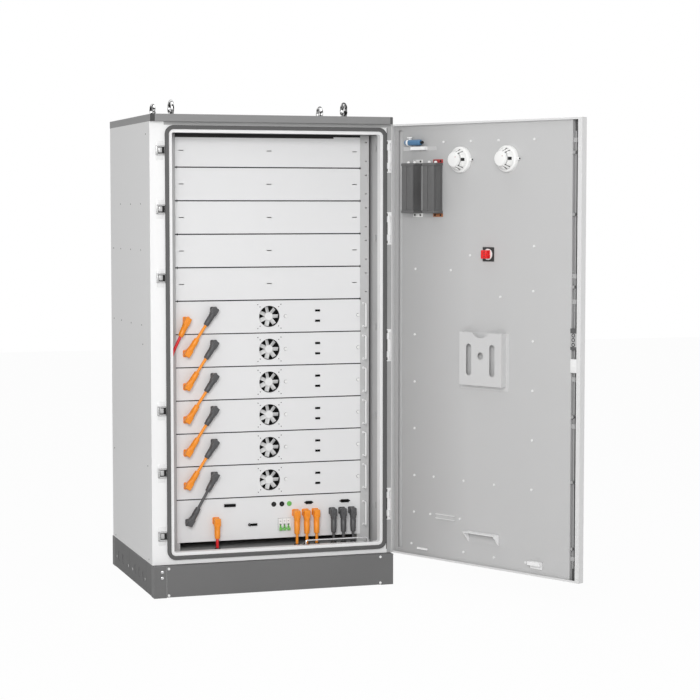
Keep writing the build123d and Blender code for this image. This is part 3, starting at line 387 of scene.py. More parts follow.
# metals
surface("zinc_steel", steelGrain(tones["zinc"]), Metallic=0.85)
surface("bright_steel", steelGrain(tones["bright"], gloss=0.14, cloud=0.92), Metallic=1.0)
surface("keeper_steel", steelGrain(tones["keeper"], gloss=0.25), Metallic=0.6)
surface("rod_steel", steelGrain(tones["rod"], gloss=0.3), Metallic=0.5)
surface("extrusion_grey", steelGrain(tones["extrusion"], (1, 1, 30), 0.42), Metallic=0.2)
surface("ear_copper", steelGrain(tones["copper"], gloss=0.35), Metallic=0.7)
surface("polished_steel", polished(0.04, 0.75), Metallic=0.9)

# plastics and rubber
surface("seal_rubber", moulded(tones["rubber"], gloss=0.7, depth=0.3, grain=600.0))
surface("black_plastic", moulded(tones["black"], gloss=0.6), Specular_IOR_Level=0.25)
surface("deep_black", moulded(tones["deepBlack"], gloss=0.8), Specular_IOR_Level=0.1)
surface("estop_black", moulded(tones["black"], gloss=0.4))
surface("white_plastic", moulded(tones["white"], gloss=0.38, depth=0.1))
surface("fan_plastic", moulded(tones["fan"], gloss=0.4))
surface("grey_plastic", moulded(tones["darkGrey"], gloss=0.42))
surface("orange_plastic", moulded(tones["orange"], gloss=0.36, depth=0.12))
surface("green_plastic", moulded(tones["green"], gloss=0.32))
surface("blue_plastic", moulded(tones["blue"], gloss=0.35, depth=0.1))
surface("red_plastic", moulded(tones["stopRed"], gloss=0.25, depth=0.06))
surface("red_jacket", moulded(tones["red"], gloss=0.35, depth=0.1))
surface("lead_jacket", leadJacket(tones["orange"], tones["darkGrey"]))
surface("led_window", moulded(tones["led"], gloss=0.15))

# nodes whose finish is finer than their slot's
finishes = {
    "door_skin": "skin_paint", "door_liner": "door_lining", "power_sockets": "socket_plastic",
    "inner_liner": "inner_paint", "rack_posts": "post_paint", "eye_bolts": "polished_steel",
    "rod_upper": "rod_steel", "rod_lower": "rod_steel", "frame_hinges": "hinge_paint",
    "door_hinges": "hinge_paint", "door_studs": "stud_paint", "door_brackets": "bracket_paint",
    "lock_case": "lock_paint", "front_frame": "frame_paint", "ports": "deep_black",
    "document_pocket": "pocket_paint", "body_panels": "side_shaded_paint", "base_side_plates": "base_side_shaded_paint",
}
for entry in frame["record"]["subparts"]:
    mesh = nodes[entry["node"]].data
    mesh.materials.clear()
    mesh.materials.append(materials[finishes.get(entry["node"], entry["material_slot"])])
print("materials:", len(materials))


# modelling helpers
def keepPiece(bm, name, coats, body, replaced=(), smooth=35.0):
    bmesh.ops.recalc_face_normals(bm, faces=bm.faces)
    mesh = bpy.data.meshes.new(name)
    bm.to_mesh(mesh)
    bm.free()
    for finish in coats:
        mesh.materials.append(materials[finish])
    mesh.shade_smooth()
    mesh.set_sharp_from_angle(angle=radians(smooth))
    piece = bpy.data.objects.new(name, mesh)
    bpy.context.scene.collection.objects.link(piece)
    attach(piece, body)
    if replaced:
        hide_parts(*replaced)


def dress(bm, verts, bevel, segments, finish):
    faces = {f for v in verts for f in v.link_faces}
    edges = {e for v in verts for e in v.link_edges}
    for face in faces:
        face.material_index = finish
    if bevel:
        done = bmesh.ops.bevel(bm, geom=list(edges), offset=bevel, offset_type="OFFSET",
                               segments=segments, profile=0.5, affect="EDGES", material=-1)
        for face in done["faces"]:
            face.material_index = finish


def block(bm, low, high, place=Matrix(), bevel=0.0, segments=2, finish=0):
    centre = [(a + b) / 2 for a, b in zip(low, high)]
    size = [abs(b - a) for a, b in zip(low, high)]
    shape = Matrix.Translation(centre) @ Matrix.Diagonal((*size, 1))
    made = bmesh.ops.create_cube(bm, size=1.0, matrix=place @ shape)
    dress(bm, made["verts"], bevel, segments, finish)


# a block that is as wide each way from the middle of its place
def slab(bm, half, low, high, place, bevel=0.0, segments=2, finish=0):
    block(bm, (-half[0], -half[1], low), (*half, high), place, bevel, segments, finish)


def cap(bm, radius, depth, place, finish=0, bevel=0.0, sides=24):
    made = bmesh.ops.create_cone(bm, cap_ends=True, segments=sides, radius1=radius, radius2=radius,
                                 depth=depth, matrix=place @ Matrix.Translation((0, 0, depth / 2)))
    dress(bm, made["verts"], bevel, 2, finish)


# a profile of (radius, height) spun about the place's own z
def turned(bm, profile, place, steps=32, finish=0):
    verts = [bm.verts.new((r, 0, h)) for r, h in profile]
    edges = [bm.edges.new(pair) for pair in zip(verts, verts[1:])]
    bmesh.ops.spin(bm, geom=verts + edges, cent=(0, 0, 0), axis=(0, 0, 1), angle=2 * pi,
                   steps=steps, use_merge=True, use_duplicate=False)
    linked = list(verts)
    met = set(verts)
    for vert in linked:  # grows while it is read, until the whole turned shape is in it
        for edge in vert.link_edges:
            other = edge.other_vert(vert)
            if other not in met:
                met.add(other)
                linked.append(other)
    bmesh.ops.remove_doubles(bm, verts=linked, dist=1e-6)
    linked = [v for v in linked if v.is_valid]
    for face in {f for v in linked for f in v.link_faces}:
        face.material_index = finish
    bmesh.ops.transform(bm, matrix=place, verts=linked)


def facing(origin, normal, upward=(0, 0, 1)):
    z = Vector(normal).normalized()
    alongUp = abs(z.dot(Vector(upward))) >= 0.99
    x = Vector((1, 0, 0)) if alongUp else Vector(upward).cross(z).normalized()
    turn = Matrix((x, z.cross(x), z)).transposed().to_4x4()
    return Matrix.Translation(origin) @ turn


def onFront(x, y, z):
    return facing((x, y, z), (0, -1, 0))


# rack pattern, read from the frame
blankLow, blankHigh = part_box("blank_panels")
rack = {"front": blankLow.y, "middle": (blankLow.x + blankHigh.x) / 2, "pitch": 0.140, "bottom": 0.386,
        "modules": 6, "blanks": 5}


def moduleCentre(k):
    return rack["bottom"] + rack["pitch"] * (k + 0.5)


# small dark screws round each fan, and the bright lip of its opening
fanTrim = {"proud": 0.0008, "screw": 0.0022, "screwRise": 0.0008, "screwEdge": 0.0003,
           "rings": (0.041, 0.051), "lip": 0.0459, "lipTube": 0.0011}
face = rack["front"] - fanTrim["proud"]
bm = bmesh.new()
for k in range(rack["modules"]):
    for reach in fanTrim["rings"]:
        for sx in (-1, 1):
            for sz in (-1, 1):
                spot = onFront(rack["middle"] + sx * reach, face, moduleCentre(k) + sz * reach)
                cap(bm, fanTrim["screw"], fanTrim["screwRise"], spot, bevel=fanTrim["screwEdge"], sides=12)
keepPiece(bm, "fan_screws", ["black_plastic"], "cabinet")
bm = bmesh.new()
for k in range(rack["modules"]):
    r, t = fanTrim["lip"], fanTrim["lipTube"]
    turned(bm, [(r - t, -t), (r - t, 0), (r, t), (r + t, 0), (r + t, -t), (r - t, -t)],
           onFront(rack["middle"], face, moduleCentre(k)), 48)
keepPiece(bm, "fan_lips", ["panel_paint"], "cabinet")

# black discs behind the fan blades: painted shade inside the fans
fanShadeDisc = {"radius": 0.0452, "thick": 0.0008, "clear": 0.0012}
bm = bmesh.new()
for k in range(rack["modules"]):
    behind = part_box("fan_rotor_%d" % (k + 1))[1].y + fanShadeDisc["clear"]
    cap(bm, fanShadeDisc["radius"], fanShadeDisc["thick"],
        onFront(rack["middle"], behind + fanShadeDisc["thick"], moduleCentre(k)), sides=48)
keepPiece(bm, "fan_shade_discs", ["deep_black"], "cabinet")

# round white knobs beside each fan and at the right-hand edge of each module
knob = {"places": (0.085, 0.411), "proud": 0.0006, "radius": 0.0062, "rise": 0.0052, "edge": 0.0012,
        "seat": 0.0004, "rim": 0.0011, "rimRise": 0.0007}
bm = bmesh.new()
for k in range(rack["modules"]):
    for x in knob["places"]:
        r, h, rim = knob["radius"], knob["rise"], knob["radius"] + knob["rim"]
        spot = onFront(x, rack["front"] - knob["proud"], moduleCentre(k))
        turned(bm, [(0, 0), (rim, 0), (rim, knob["rimRise"]), (r, knob["rimRise"])], spot, 32, 1)
        turned(bm, [(r, knob["seat"]), (r, h - knob["edge"]), (r - knob["edge"], h), (0, h)], spot, 32)
keepPiece(bm, "module_knobs", ["white_plastic", "seal_rubber"], "cabinet")

# solid faces of the connectors; a row is the middle x and z, half width, half height and how far out
connector = {"x": 0.228, "rise": 0.022, "half": (0.0105, 0.0043), "out": 0.0024, "edge": 0.0006,
             "thick": 0.003,
             "highVoltage": ((-0.1635, 0.354, 0.0240, 0.0056, 0.0064),
                             (-0.057, 0.267, 0.0125, 0.0042, 0.0074))}
bm = bmesh.new()
for k in range(rack["modules"]):
    for dz in (-connector["rise"], connector["rise"]):
        x, z, (w, h) = connector["x"], moduleCentre(k) + dz, connector["half"]
        block(bm, (x - w, rack["front"] - connector["out"], z - h), (x + w, rack["front"], z + h),
              bevel=connector["edge"])
for x, z, w, h, out in connector["highVoltage"]:
    front = rack["front"] - out
    block(bm, (x - w, front, z - h), (x + w, front + connector["thick"], z + h), bevel=connector["edge"])
keepPiece(bm, "connector_faces", ["deep_black"], "cabinet")

# dark seams between the panels, with a small catch at each end of the blanks, and a black strip along the top
# of the blanks that is painted shadow under the ceiling
seam = {"blankTall": 0.0048, "moduleTall": 0.0042, "proud": 0.0009, "deep": 0.001, "overLeft": 0.001,
        "overRight": 0.003, "catch": 0.011, "catchHalf": 0.001, "catchProud": 0.0004, "inset": 0.0075,
        "topShadowSplit": 0.30, "topShadowLeft": 0.0155, "topShadowRight": 0.009}
rows = rack["modules"] + rack["blanks"]
front, back = rack["front"] - seam["proud"], rack["front"] + seam["deep"]
bm = bmesh.new()
for k in range(rows):
    z = rack["bottom"] + rack["pitch"] * k
    tall = (seam["blankTall"] if k >= rack["modules"] else seam["moduleTall"]) / 2
    block(bm, (blankLow.x - seam["overLeft"], front, z - tall),
          (blankHigh.x + seam["overRight"], back, z + tall))
    if k < rack["modules"]:
        continue
    half, up = seam["catchHalf"], seam["catch"] / 2
    for x in (blankLow.x + seam["inset"], blankHigh.x - half):
        block(bm, (x - half, front - seam["catchProud"], z - up), (x + half, rack["front"], z + up))
top = rack["bottom"] + rack["pitch"] * rows
# painted shadow: a black strip along the top of the blanks, taller on the left
block(bm, (blankLow.x, front, top - seam["topShadowLeft"]), (seam["topShadowSplit"], back, top))
block(bm, (seam["topShadowSplit"], front, top - seam["topShadowRight"]), (blankHigh.x, back, top))
keepPiece(bm, "panel_seams_and_top_shadow", ["black_plastic"], "cabinet")
print("rack trim done")

# power plugs: a round head on the socket, an elbow, and a ribbed boot towards the other end of the lead
plug = {"plane": -0.316, "seat": -0.300, "length": 0.074, "outLength": 0.090,
        "plusX": -0.349, "plusDrop": -0.010, "minusX": -0.231, "minusRise": 0.030,
        "topLead": (-0.031, -0.065), "hvMinus": (-0.343, 0.290), "hvPlus": (-0.225, 0.292),
        "outZ": 0.310, "outPlus": 0.127, "outMinus": 0.292, "outPitch": 0.044, "outputs": 3, "below": -1.0}
plugHead = [(0, 0), (0.0136, 0), (0.0136, 0.004), (0.0124, 0.0045), (0.0124, 0.007), (0.0136, 0.0075),
            (0.0136, 0.025), (0.0111, 0.0295), (0, 0.0298)]
bootStart = [(0, 0.018), (0.0130, 0.018), (0.0133, 0.030), (0.0120, 0.032), (0.0116, 0.0335), (0.0126, 0.035)]
bootEnd = [(0.0122, 0.012), (0.0108, 0.0105), (0.0108, 0.0090), (0.0118, 0.0075), (0.0110, 0.002),
           (0.0088, 0), (0.0066, 0), (0.0066, 0.006), (0, 0.006)]  # radius, and distance back from the end
plugBlocks = {  # low corner, high corner, bevel, segments
    "elbow": ((-0.0136, -0.0130, -0.0125), (0.0136, 0.0130, 0.0215), 0.0040, 3),
    "rearRib": ((-0.0045, -0.0120, 0.014), (0.0045, -0.0146, 0.040), 0.0008, 2),
    "frontRib": ((-0.0045, 0.0120, 0.014), (0.0045, 0.0146, 0.040), 0.0008, 2),
    "latch": ((-0.0148, -0.005, 0.006), (0.0148, 0.005, 0.020), 0.0012, 2),
    "key": ((-0.0034, -0.0155, -0.004), (0.0034, -0.0125, 0.010), 0.0008, 2),
}


def powerPlug(bm, spot, towards, length=plug["length"]):
    start = Vector((spot[0], plug["plane"], spot[1]))
    run = (Vector((towards[0], plug["plane"], towards[1])) - start).normalized()
    turned(bm, plugHead, onFront(spot[0], plug["seat"], spot[1]), 32)
    lie = facing(start, run, (0, 1, 0))
    turned(bm, bootStart + [(r, length - back) for r, back in bootEnd], lie, 32)
    for low, high, bevel, segments in plugBlocks.values():
        block(bm, low, high, lie, bevel, segments)


def outputPlugs(bm, first):
    for i in range(plug["outputs"]):
        x = first + plug["outPitch"] * i
        powerPlug(bm, (x, plug["outZ"]), (x, plug["below"]), plug["outLength"])


plusSpots = [(plug["plusX"], moduleCentre(k) + plug["plusDrop"]) for k in range(rack["modules"])]
minusSpots = [(plug["minusX"], moduleCentre(k) + plug["minusRise"]) for k in range(rack["modules"])]
pairs = list(zip(plusSpots, minusSpots[1:]))  # each jumper, from a module's plus to the next one's minus
bm = bmesh.new()
for plus, minus in pairs:
    powerPlug(bm, plus, minus)
powerPlug(bm, plusSpots[-1], [a + b for a, b in zip(plusSpots[-1], plug["topLead"])])
powerPlug(bm, plug["hvPlus"], (plug["hvPlus"][0], plug["below"]))
outputPlugs(bm, plug["outPlus"])
keepPiece(bm, "orange_power_plugs", ["orange_plastic"], "cabinet", ["orange_plugs"])
bm = bmesh.new()
for plus, minus in pairs + [(plug["hvMinus"], minusSpots[0])]:
    powerPlug(bm, minus, plus)
powerPlug(bm, plug["hvMinus"], minusSpots[0])
outputPlugs(bm, plug["outMinus"])
keepPiece(bm, "grey_power_plugs", ["grey_plastic"], "cabinet", ["grey_plugs"])
print("power plugs done")

# push-button bezels
bezel = {"buttons": ("button_start", "button_reset", "button_run"), "green": "button_run", "play": 0.0003,
         "proud": 0.0002, "radius": 0.0108, "rise": 0.0016, "edge": 0.0008}
bm = bmesh.new()
for name in bezel["buttons"]:
    low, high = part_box(name)
    centre, inner = (low + high) / 2, (high.x - low.x) / 2 + bezel["play"]
    out, up = bezel["radius"], bezel["rise"]
    spot = onFront(centre.x, rack["front"] - bezel["proud"], centre.z)
    turned(bm, [(inner, 0), (out, 0), (out, up / 2), (out - bezel["edge"], up), (inner, up), (inner, 0)],
           spot, 40, 1 if name == bezel["green"] else 0)
keepPiece(bm, "button_bezels", ["deep_black", "green_plastic"], "cabinet")

# the three-pole breaker's levers: a paddle, a stem that stays under the window's top edge when thrown,
# a hub on the axle, and one bar that ties the three
lever = {"poles": 3, "pitch": 0.0176, "paddleHalf": 0.0071, "paddleY": (0.0004, 0.0055),
         "paddleZ": (0.236, 0.248), "paddleEdge": 0.0018, "stemHalf": 0.003905, "stemLow": (0.002, 0.008),
         "stemHigh": (0.006, 0.0058), "stemEdge": 0.0015, "hub": 0.0064, "axleBack": 0.0165,
         "axleDown": 0.007, "barInset": 0.002, "barY": (0.002, 0.0046), "barZ": (0.003, 0.007),
         "barEdge": 0.0006}


def poleMiddles(low, high):
    middle, poles = (low.x + high.x) / 2, lever["poles"]
    return [middle + (i - (poles - 1) / 2) * lever["pitch"] for i in range(poles)]


low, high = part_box("breaker_toggle")
bm = bmesh.new()
for x in poleMiddles(low, high):
    w, stem = lever["paddleHalf"], lever["stemHalf"]
    (near, far), (foot, head) = lever["paddleY"], lever["paddleZ"]
    block(bm, (x - w, low.y + near, foot), (x + w, low.y + far, head), bevel=lever["paddleEdge"], segments=3)
    (inY, inZ), (backY, downZ) = lever["stemLow"], lever["stemHigh"]
    block(bm, (x - stem, low.y + inY, low.z + inZ), (x + stem, high.y - backY, high.z - downZ),
          bevel=lever["stemEdge"], segments=3)
    axle = facing((x - stem, low.y + lever["axleBack"], high.z - lever["axleDown"]), (1, 0, 0))
    turned(bm, [(0, 0), (lever["hub"], 0), (lever["hub"], 2 * stem), (0, 2 * stem)], axle, 40)
(near, far), (foot, head) = lever["barY"], lever["barZ"]
block(bm, (low.x + lever["barInset"], low.y + near, low.z + foot),
      (high.x - lever["barInset"], low.y + far, low.z + head), bevel=lever["barEdge"])
keepPiece(bm, "breaker_levers", ["green_plastic"], "breaker_toggle", ["breaker_toggle"])

# the breaker's dark lines: a flag over each pole, the joints between poles, and a painted shadow round the
# body
mark = {"deep": 0.001, "flagHalf": 0.0035, "flagProud": 0.0004, "flagDown": (0.0125, 0.0105),
        "jointInset": 0.0185, "jointHalf": 0.0003, "jointShort": 0.001, "shadowProud": 0.0005,
        "shadowOut": 0.0009, "sideOut": 0.0011, "topIn": 0.0002, "rightOut": 0.0001}
low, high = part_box("breaker_body")
deep = low.y + mark["deep"]
front, back = rack["front"] - mark["shadowProud"], rack["front"] + mark["deep"]
bm = bmesh.new()
for x in poleMiddles(low, high):
    bottom, top = [high.z - down for down in mark["flagDown"]]
    block(bm, (x - mark["flagHalf"], low.y - mark["flagProud"], bottom), (x + mark["flagHalf"], deep, top))
for x in (low.x + mark["jointInset"], high.x - mark["jointInset"]):
    half, short = mark["jointHalf"], mark["jointShort"]
    block(bm, (x - half, low.y - half, low.z + short), (x + half, deep, high.z - short))
# painted shadow round the breaker body, along its bottom and top and down both sides
for z in (low.z - mark["shadowOut"], high.z - mark["topIn"]):
    block(bm, (low.x - mark["deep"], front, z), (high.x + mark["deep"], back, z + mark["sideOut"]))
for x in (low.x - mark["sideOut"], high.x + mark["rightOut"]):
    block(bm, (x, front, low.z - mark["shadowOut"]), (x + mark["deep"], back, high.z + mark["shadowOut"]))
keepPiece(bm, "breaker_marks_and_shadow", ["seal_rubber"], "cabinet")

# smoke detectors: profiles are (radius, height), leans are (reach, height, degrees)
detector = {
    "spots": ((0.4065, 1.813), (0.659, 1.813)), "arms": 3,
    "base": [(0, 0), (0.0525, 0), (0.0535, 0.001), (0.0535, 0.013), (0.052, 0.016), (0.046, 0.019),
             (0.043, 0.021), (0, 0.021)],
    "chamber": [(0, 0.021), (0.0300, 0.021), (0.0290, 0.044), (0, 0.044)],
    "lid": [(0, 0.043), (0.0300, 0.043), (0.0315, 0.0445), (0.0310, 0.0500), (0.0285, 0.0535),
            (0.022, 0.0548), (0, 0.055)],
    "dish": [(0.0295, 0.020), (0.0455, 0.0205), (0.0455, 0.0215), (0.0340, 0.0400), (0.0295, 0.0400)],
    "arm": (0.0365, 0.033, -24), "armHalf": (0.0035, 0.0042), "armUp": (-0.0150, 0.0160), "armEdge": 0.0014,
    "webAt": (-0.001, 0.0125), "webHalf": (0.0030, 0.0052), "webUp": (-0.0120, 0.0080),
    "slit": (0.0368, 0.0362, -32), "slitTurn": 0.20, "grille": (0.0374, 0.0352, -32),
    "lamp": (0.014, 0.010, 0.0546), "lampRadius": 0.0018, "lampRise": 0.0010, "lampEdge": 0.0004,
}
detectorBlocks = {  # low corner, high corner, bevel, segments, finish
    "slit": ((-0.001, -0.0014, -0.0135), (0.0012, 0.0014, 0.0120), 0.0003, 1, 1),
    "grille": ((-0.002, -0.0062, -0.0075), (0.0012, 0.0062, 0.0075), 0.0005, 1, 1),
    "tongue": ((0.0525, -0.0060, 0.002), (0.0640, 0.0060, 0.0120), 0.0012, 2, 0),
    "tongueTip": ((0.0600, -0.0035, 0.004), (0.0655, 0.0035, 0.0100), 0.0006, 2, 1),
}


def leaning(place, turn, stance):
    reach, up, lean = stance
    return (place @ Matrix.Rotation(turn, 4, "Z") @ Matrix.Translation((reach, 0, up))
            @ Matrix.Rotation(radians(lean), 4, "Y"))


def detectorBlock(bm, name, place):
    low, high, bevel, segments, finish = detectorBlocks[name]
    block(bm, low, high, place, bevel, segments, finish)


bm = bmesh.new()
for x, y in detector["spots"]:
    place = onDoor(x, y)
    turned(bm, detector["base"], place, 64)
    turned(bm, detector["chamber"], place, 48, 1)
    turned(bm, detector["lid"], place, 64)
    turned(bm, detector["dish"], place, 64)
    for i in range(detector["arms"]):
        turn = 2 * pi * (i + 0.5) / detector["arms"]
        arm = leaning(place, turn, detector["arm"])
        slab(bm, detector["armHalf"], *detector["armUp"], arm, detector["armEdge"])
        for side in (-1, 1):
            web = arm @ Matrix.Translation((detector["webAt"][0], side * detector["webAt"][1], 0))
            slab(bm, detector["webHalf"], *detector["webUp"], web, detector["armEdge"])
            detectorBlock(bm, "slit", leaning(place, turn + side * detector["slitTurn"], detector["slit"]))
    detectorBlock(bm, "grille", leaning(place, 0, detector["grille"]))
    detectorBlock(bm, "tongue", place)
    detectorBlock(bm, "tongueTip", place)
    cap(bm, detector["lampRadius"], detector["lampRise"], place @ Matrix.Translation(detector["lamp"]),
        2, detector["lampEdge"], 16)
keepPiece(bm, "detector_heads", ["white_plastic", "black_plastic", "led_window"], "door",
          ["smoke_detectors"])

# aerosol units: ribbed dark extrusions with end caps and white terminals
unit = {"starts": (0.115, 0.234), "width": 0.070, "bottom": 1.594, "height": 0.208, "depth": 0.055,
        "coreIn": 0.004, "coreUp": 0.006, "coreEdge": 0.001, "ribUp": 0.010, "ribEdge": 0.0012,
        "frontRibs": ((0.003, 0.030), (0.0315, 0.067)), "frontDeep": (0.006, 0.0015),
        "sideRibs": ((0.003, 0.010), (0.0115, 0.040), (0.0415, 0.0485)), "sideIn": 0.0018,
        "capTall": 0.012, "capEdge": 0.0025, "domes": (0.015, 0.051), "domeOut": 0.025,
        "dome": [(0, 0), (0.0068, 0), (0.0068, 0.004), (0.0052, 0.0075), (0, 0.009)]}
lining = onDoor(0, 0)
low, high = unit["bottom"], unit["bottom"] + unit["height"]
w, d = unit["width"], unit["depth"]
bm = bmesh.new()
for x in unit["starts"]:
    block(bm, (x + unit["coreIn"], low + unit["coreUp"], 0.0),
          (x + w - unit["coreIn"], high - unit["coreUp"], d - unit["coreIn"]), lining, unit["coreEdge"])
    for a, b in unit["frontRibs"]:
        block(bm, (x + a, low + unit["ribUp"], d - unit["frontDeep"][0]),
              (x + b, high - unit["ribUp"], d - unit["frontDeep"][1]), lining, unit["ribEdge"])
    for a, b in unit["sideRibs"]:
        block(bm, (x + unit["sideIn"], low + unit["ribUp"], a),
              (x + w - unit["sideIn"], high - unit["ribUp"], b), lining, unit["ribEdge"])
    for a, b in ((low, low + unit["capTall"]), (high - unit["capTall"], high)):
        block(bm, (x, a, 0), (x + w, b, d), lining, unit["capEdge"], 3)
    for dx in unit["domes"]:
        dome = onDoor(x + dx, high, unit["domeOut"] + door["liner"]) @ Matrix.Rotation(-pi / 2, 4, "X")
        turned(bm, unit["dome"], dome, 24, 1)
keepPiece(bm, "aerosol_cases", ["extrusion_grey", "white_plastic"], "door",
          ["aerosol_units"])

# mounting ears: the unit on the right has a red top ear and a copper foot
ears = {"starts": (0.136, 0.250), "width": 0.054, "height": 0.0145, "gap": 0.0004, "thick": 0.0025,
        "edge": 0.0006, "screws": (0.011, 0.043), "screw": 0.0042, "screwRise": 0.003, "screwOut": 0.0022,
        "screwEdge": 0.0008, "finish": ((0, 0), (2, 1))}  # of each unit's foot and top
earFeet = (unit["bottom"] - ears["gap"] - ears["height"], unit["bottom"] + unit["height"] + ears["gap"])
bm = bmesh.new()
for x, finish in zip(ears["starts"], ears["finish"]):
    for y, coatOfEar in zip(earFeet, finish):
        block(bm, (x, y, 0), (x + ears["width"], y + ears["height"], ears["thick"]), lining, ears["edge"], 2,
              coatOfEar)
        for dx in ears["screws"]:
            spot = onDoor(x + dx, y + ears["height"] / 2, door["liner"] + ears["screwOut"])
            cap(bm, ears["screw"], ears["screwRise"], spot, 3, ears["screwEdge"], 16)
keepPiece(bm, "aerosol_ears", ["ear_metal", "ear_red", "ear_copper", "black_plastic"], "door",
          ["unit_ears"])

# emergency stop: dark plate, white ring and red contact block inside the door, a dark ring outside it
stop = {"x": 0.556, "y": 1.4285, "plate": (0.030, 0.029), "plateUp": (0, 0.003), "plateEdge": 0.0008,
        "ring": [(0, 0.002), (0.0225, 0.002), (0.0225, 0.0055), (0.021, 0.0062), (0, 0.0062)],
        "contact": (0.0145, 0.017), "contactUp": (0.006, 0.033), "contactEdge": 0.0022,
        "screws": ((0.004, -0.0095), (0.004, 0), (0.004, 0.0095)), "screw": 0.0028, "screwRise": 0.0008,
        "screwUp": 0.0328, "screwEdge": 0.0002,
        "outerRing": [(0.0113, 0.0), (0.027, 0.0), (0.027, 0.0025), (0.025, 0.004), (0.0113, 0.004),
                      (0.0113, 0.0)]}
place = onDoor(stop["x"], stop["y"])
bm = bmesh.new()
slab(bm, stop["plate"], *stop["plateUp"], place, stop["plateEdge"])
turned(bm, stop["ring"], place, 40, 1)
slab(bm, stop["contact"], *stop["contactUp"], place, stop["contactEdge"], 3, 2)
for x, y in stop["screws"]:
    cap(bm, stop["screw"], stop["screwRise"], place @ Matrix.Translation((x, y, stop["screwUp"])), 0,
        stop["screwEdge"], 16)
turned(bm, stop["outerRing"], onDoor(stop["x"], stop["y"], door["skin"]) @ Matrix.Rotation(pi, 4, "X"), 40)
keepPiece(bm, "stop_contact", ["estop_black", "white_plastic", "red_plastic"], "door",
          ["estop_body"])
print("door equipment done")

# latch keepers: white plate, bevelled steel block with a roller, and a dark cheek and throat that are painted
# shade inside the block
keeper = {"heights": (1.852, 1.611, 1.328, 0.778, 0.519, 0.255), "left": -0.500, "right": -0.464,
          "face": -0.400, "rise": 0.0095, "half": 0.0205, "sunk": 0.001,
          "plateHalf": 0.0385, "plateProud": 0.0015, "plateIn": (0.002, 0.004), "plateEdge": 0.0005,
          "wall": 0.009, "wallEdge": 0.0025, "lip": 0.007, "lipEdge": 0.0022,
          "cheek": 0.004, "cheekIn": 0.001, "throatIn": (0.008, 0.003), "throatUp": 0.006,
          "throatProud": 0.0028, "roller": 0.010, "rollerUp": (0.010, 0.012), "rollerIn": 0.002}
bm = bmesh.new()
for z in keeper["heights"]:
    a, b, f, h = keeper["left"], keeper["right"], keeper["face"], keeper["half"]
    front, back, lip = f - keeper["rise"], f - keeper["sunk"], keeper["lip"]
    plate, plateIn = keeper["plateHalf"], keeper["plateIn"]
    cheek, throatIn = keeper["cheek"], keeper["throatIn"]
    block(bm, (a + plateIn[0], f - keeper["plateProud"], z - plate), (b - plateIn[1], f, z + plate),
          bevel=keeper["plateEdge"], finish=1)
    block(bm, (a, front, z - h), (a + keeper["wall"], back, z + h), bevel=keeper["wallEdge"], segments=3)
    for low, high in ((z + h - lip, z + h), (z - h, z - h + lip)):
        block(bm, (a, front, low), (b, back, high), bevel=keeper["lipEdge"], segments=3)
    # painted shade: the dark right cheek and the throat behind the roller
    block(bm, (b - cheek, front + keeper["cheekIn"], z - h + cheek), (b, back, z + h - cheek),
          bevel=keeper["cheekIn"], finish=2)
    block(bm, (a + throatIn[0], f - keeper["throatProud"], z - h + keeper["throatUp"]),
          (b - throatIn[1], back, z + h - keeper["throatUp"]), finish=2)
    block(bm, (a + keeper["roller"], front + keeper["rollerIn"], z - keeper["rollerUp"][0]),
          (b - keeper["roller"], f - keeper["rollerIn"], z + keeper["rollerUp"][1]),
          bevel=keeper["rollerIn"], segments=3)
keepPiece(bm, "keeper_blocks", ["keeper_steel", "stud_paint", "black_plastic"], "cabinet",
          ["latch_keepers"])

# hinge column: a groove along the seal, and painted shadows beside the knuckles and at both their ends
column = {"groove": 0.5035, "heights": (1.834, 1.529, 1.030, 0.346), "face": -0.400, "deep": 0.001,
          "half": 0.0012, "proud": 0.0006, "ends": (0.150, 1.955), "shadowProud": 0.0036,
          "shadowSides": (0.0012, 0.0022), "shadowHalf": 0.026, "endOffset": 0.058, "endHalf": 0.006,
          "endSides": (0.002, 0.0026)}
g, back = column["groove"], column["face"] + column["deep"]
bm = bmesh.new()
block(bm, (g - column["half"], column["face"] - column["proud"], column["ends"][0]),
      (g + column["half"], back, column["ends"][1]))
for z in column["heights"]:
    front = column["face"] - column["shadowProud"]
    (left, right), half = column["shadowSides"], column["shadowHalf"]
    block(bm, (g - left, front, z - half), (g + right, back, z + half))
    (left, right), half = column["endSides"], column["endHalf"]
    for end in (z - column["endOffset"], z + column["endOffset"]):
        block(bm, (g - left, front, end - half), (g + right, back, end + half))
keepPiece(bm, "hinge_groove_and_shadows", ["deep_black"], "cabinet")

# lock channel: cover plate, the gearbox's dark rings and the spindle's cover
lockTrim = {"across": (0.9895, 1.0205), "up": (0.972, 1.026), "deep": (0.0185, 0.0205), "edge": 0.0006,
            "rings": (1.082, 1.101, 1.119), "ringX": 1.0035, "ringOut": 0.0198,
            "ring": [(0.0052, 0), (0.0078, 0), (0.0078, 0.0012), (0.0052, 0.0012), (0.0052, 0)],
            "cover": ((0.9545, 1.0885, 0.0), (0.9855, 1.1195, 0.0004))}
bm = bmesh.new()
lowCorner, highCorner = zip(lockTrim["across"], lockTrim["up"], lockTrim["deep"])
block(bm, lowCorner, highCorner, onDoor(0, 0, 0), lockTrim["edge"])
for y in lockTrim["rings"]:
    turned(bm, lockTrim["ring"], onDoor(lockTrim["ringX"], y, lockTrim["ringOut"]), 32, 1)
block(bm, *lockTrim["cover"], lining, finish=2)
keepPiece(bm, "lock_trim", ["stud_paint", "black_plastic", "door_lining"], "door")

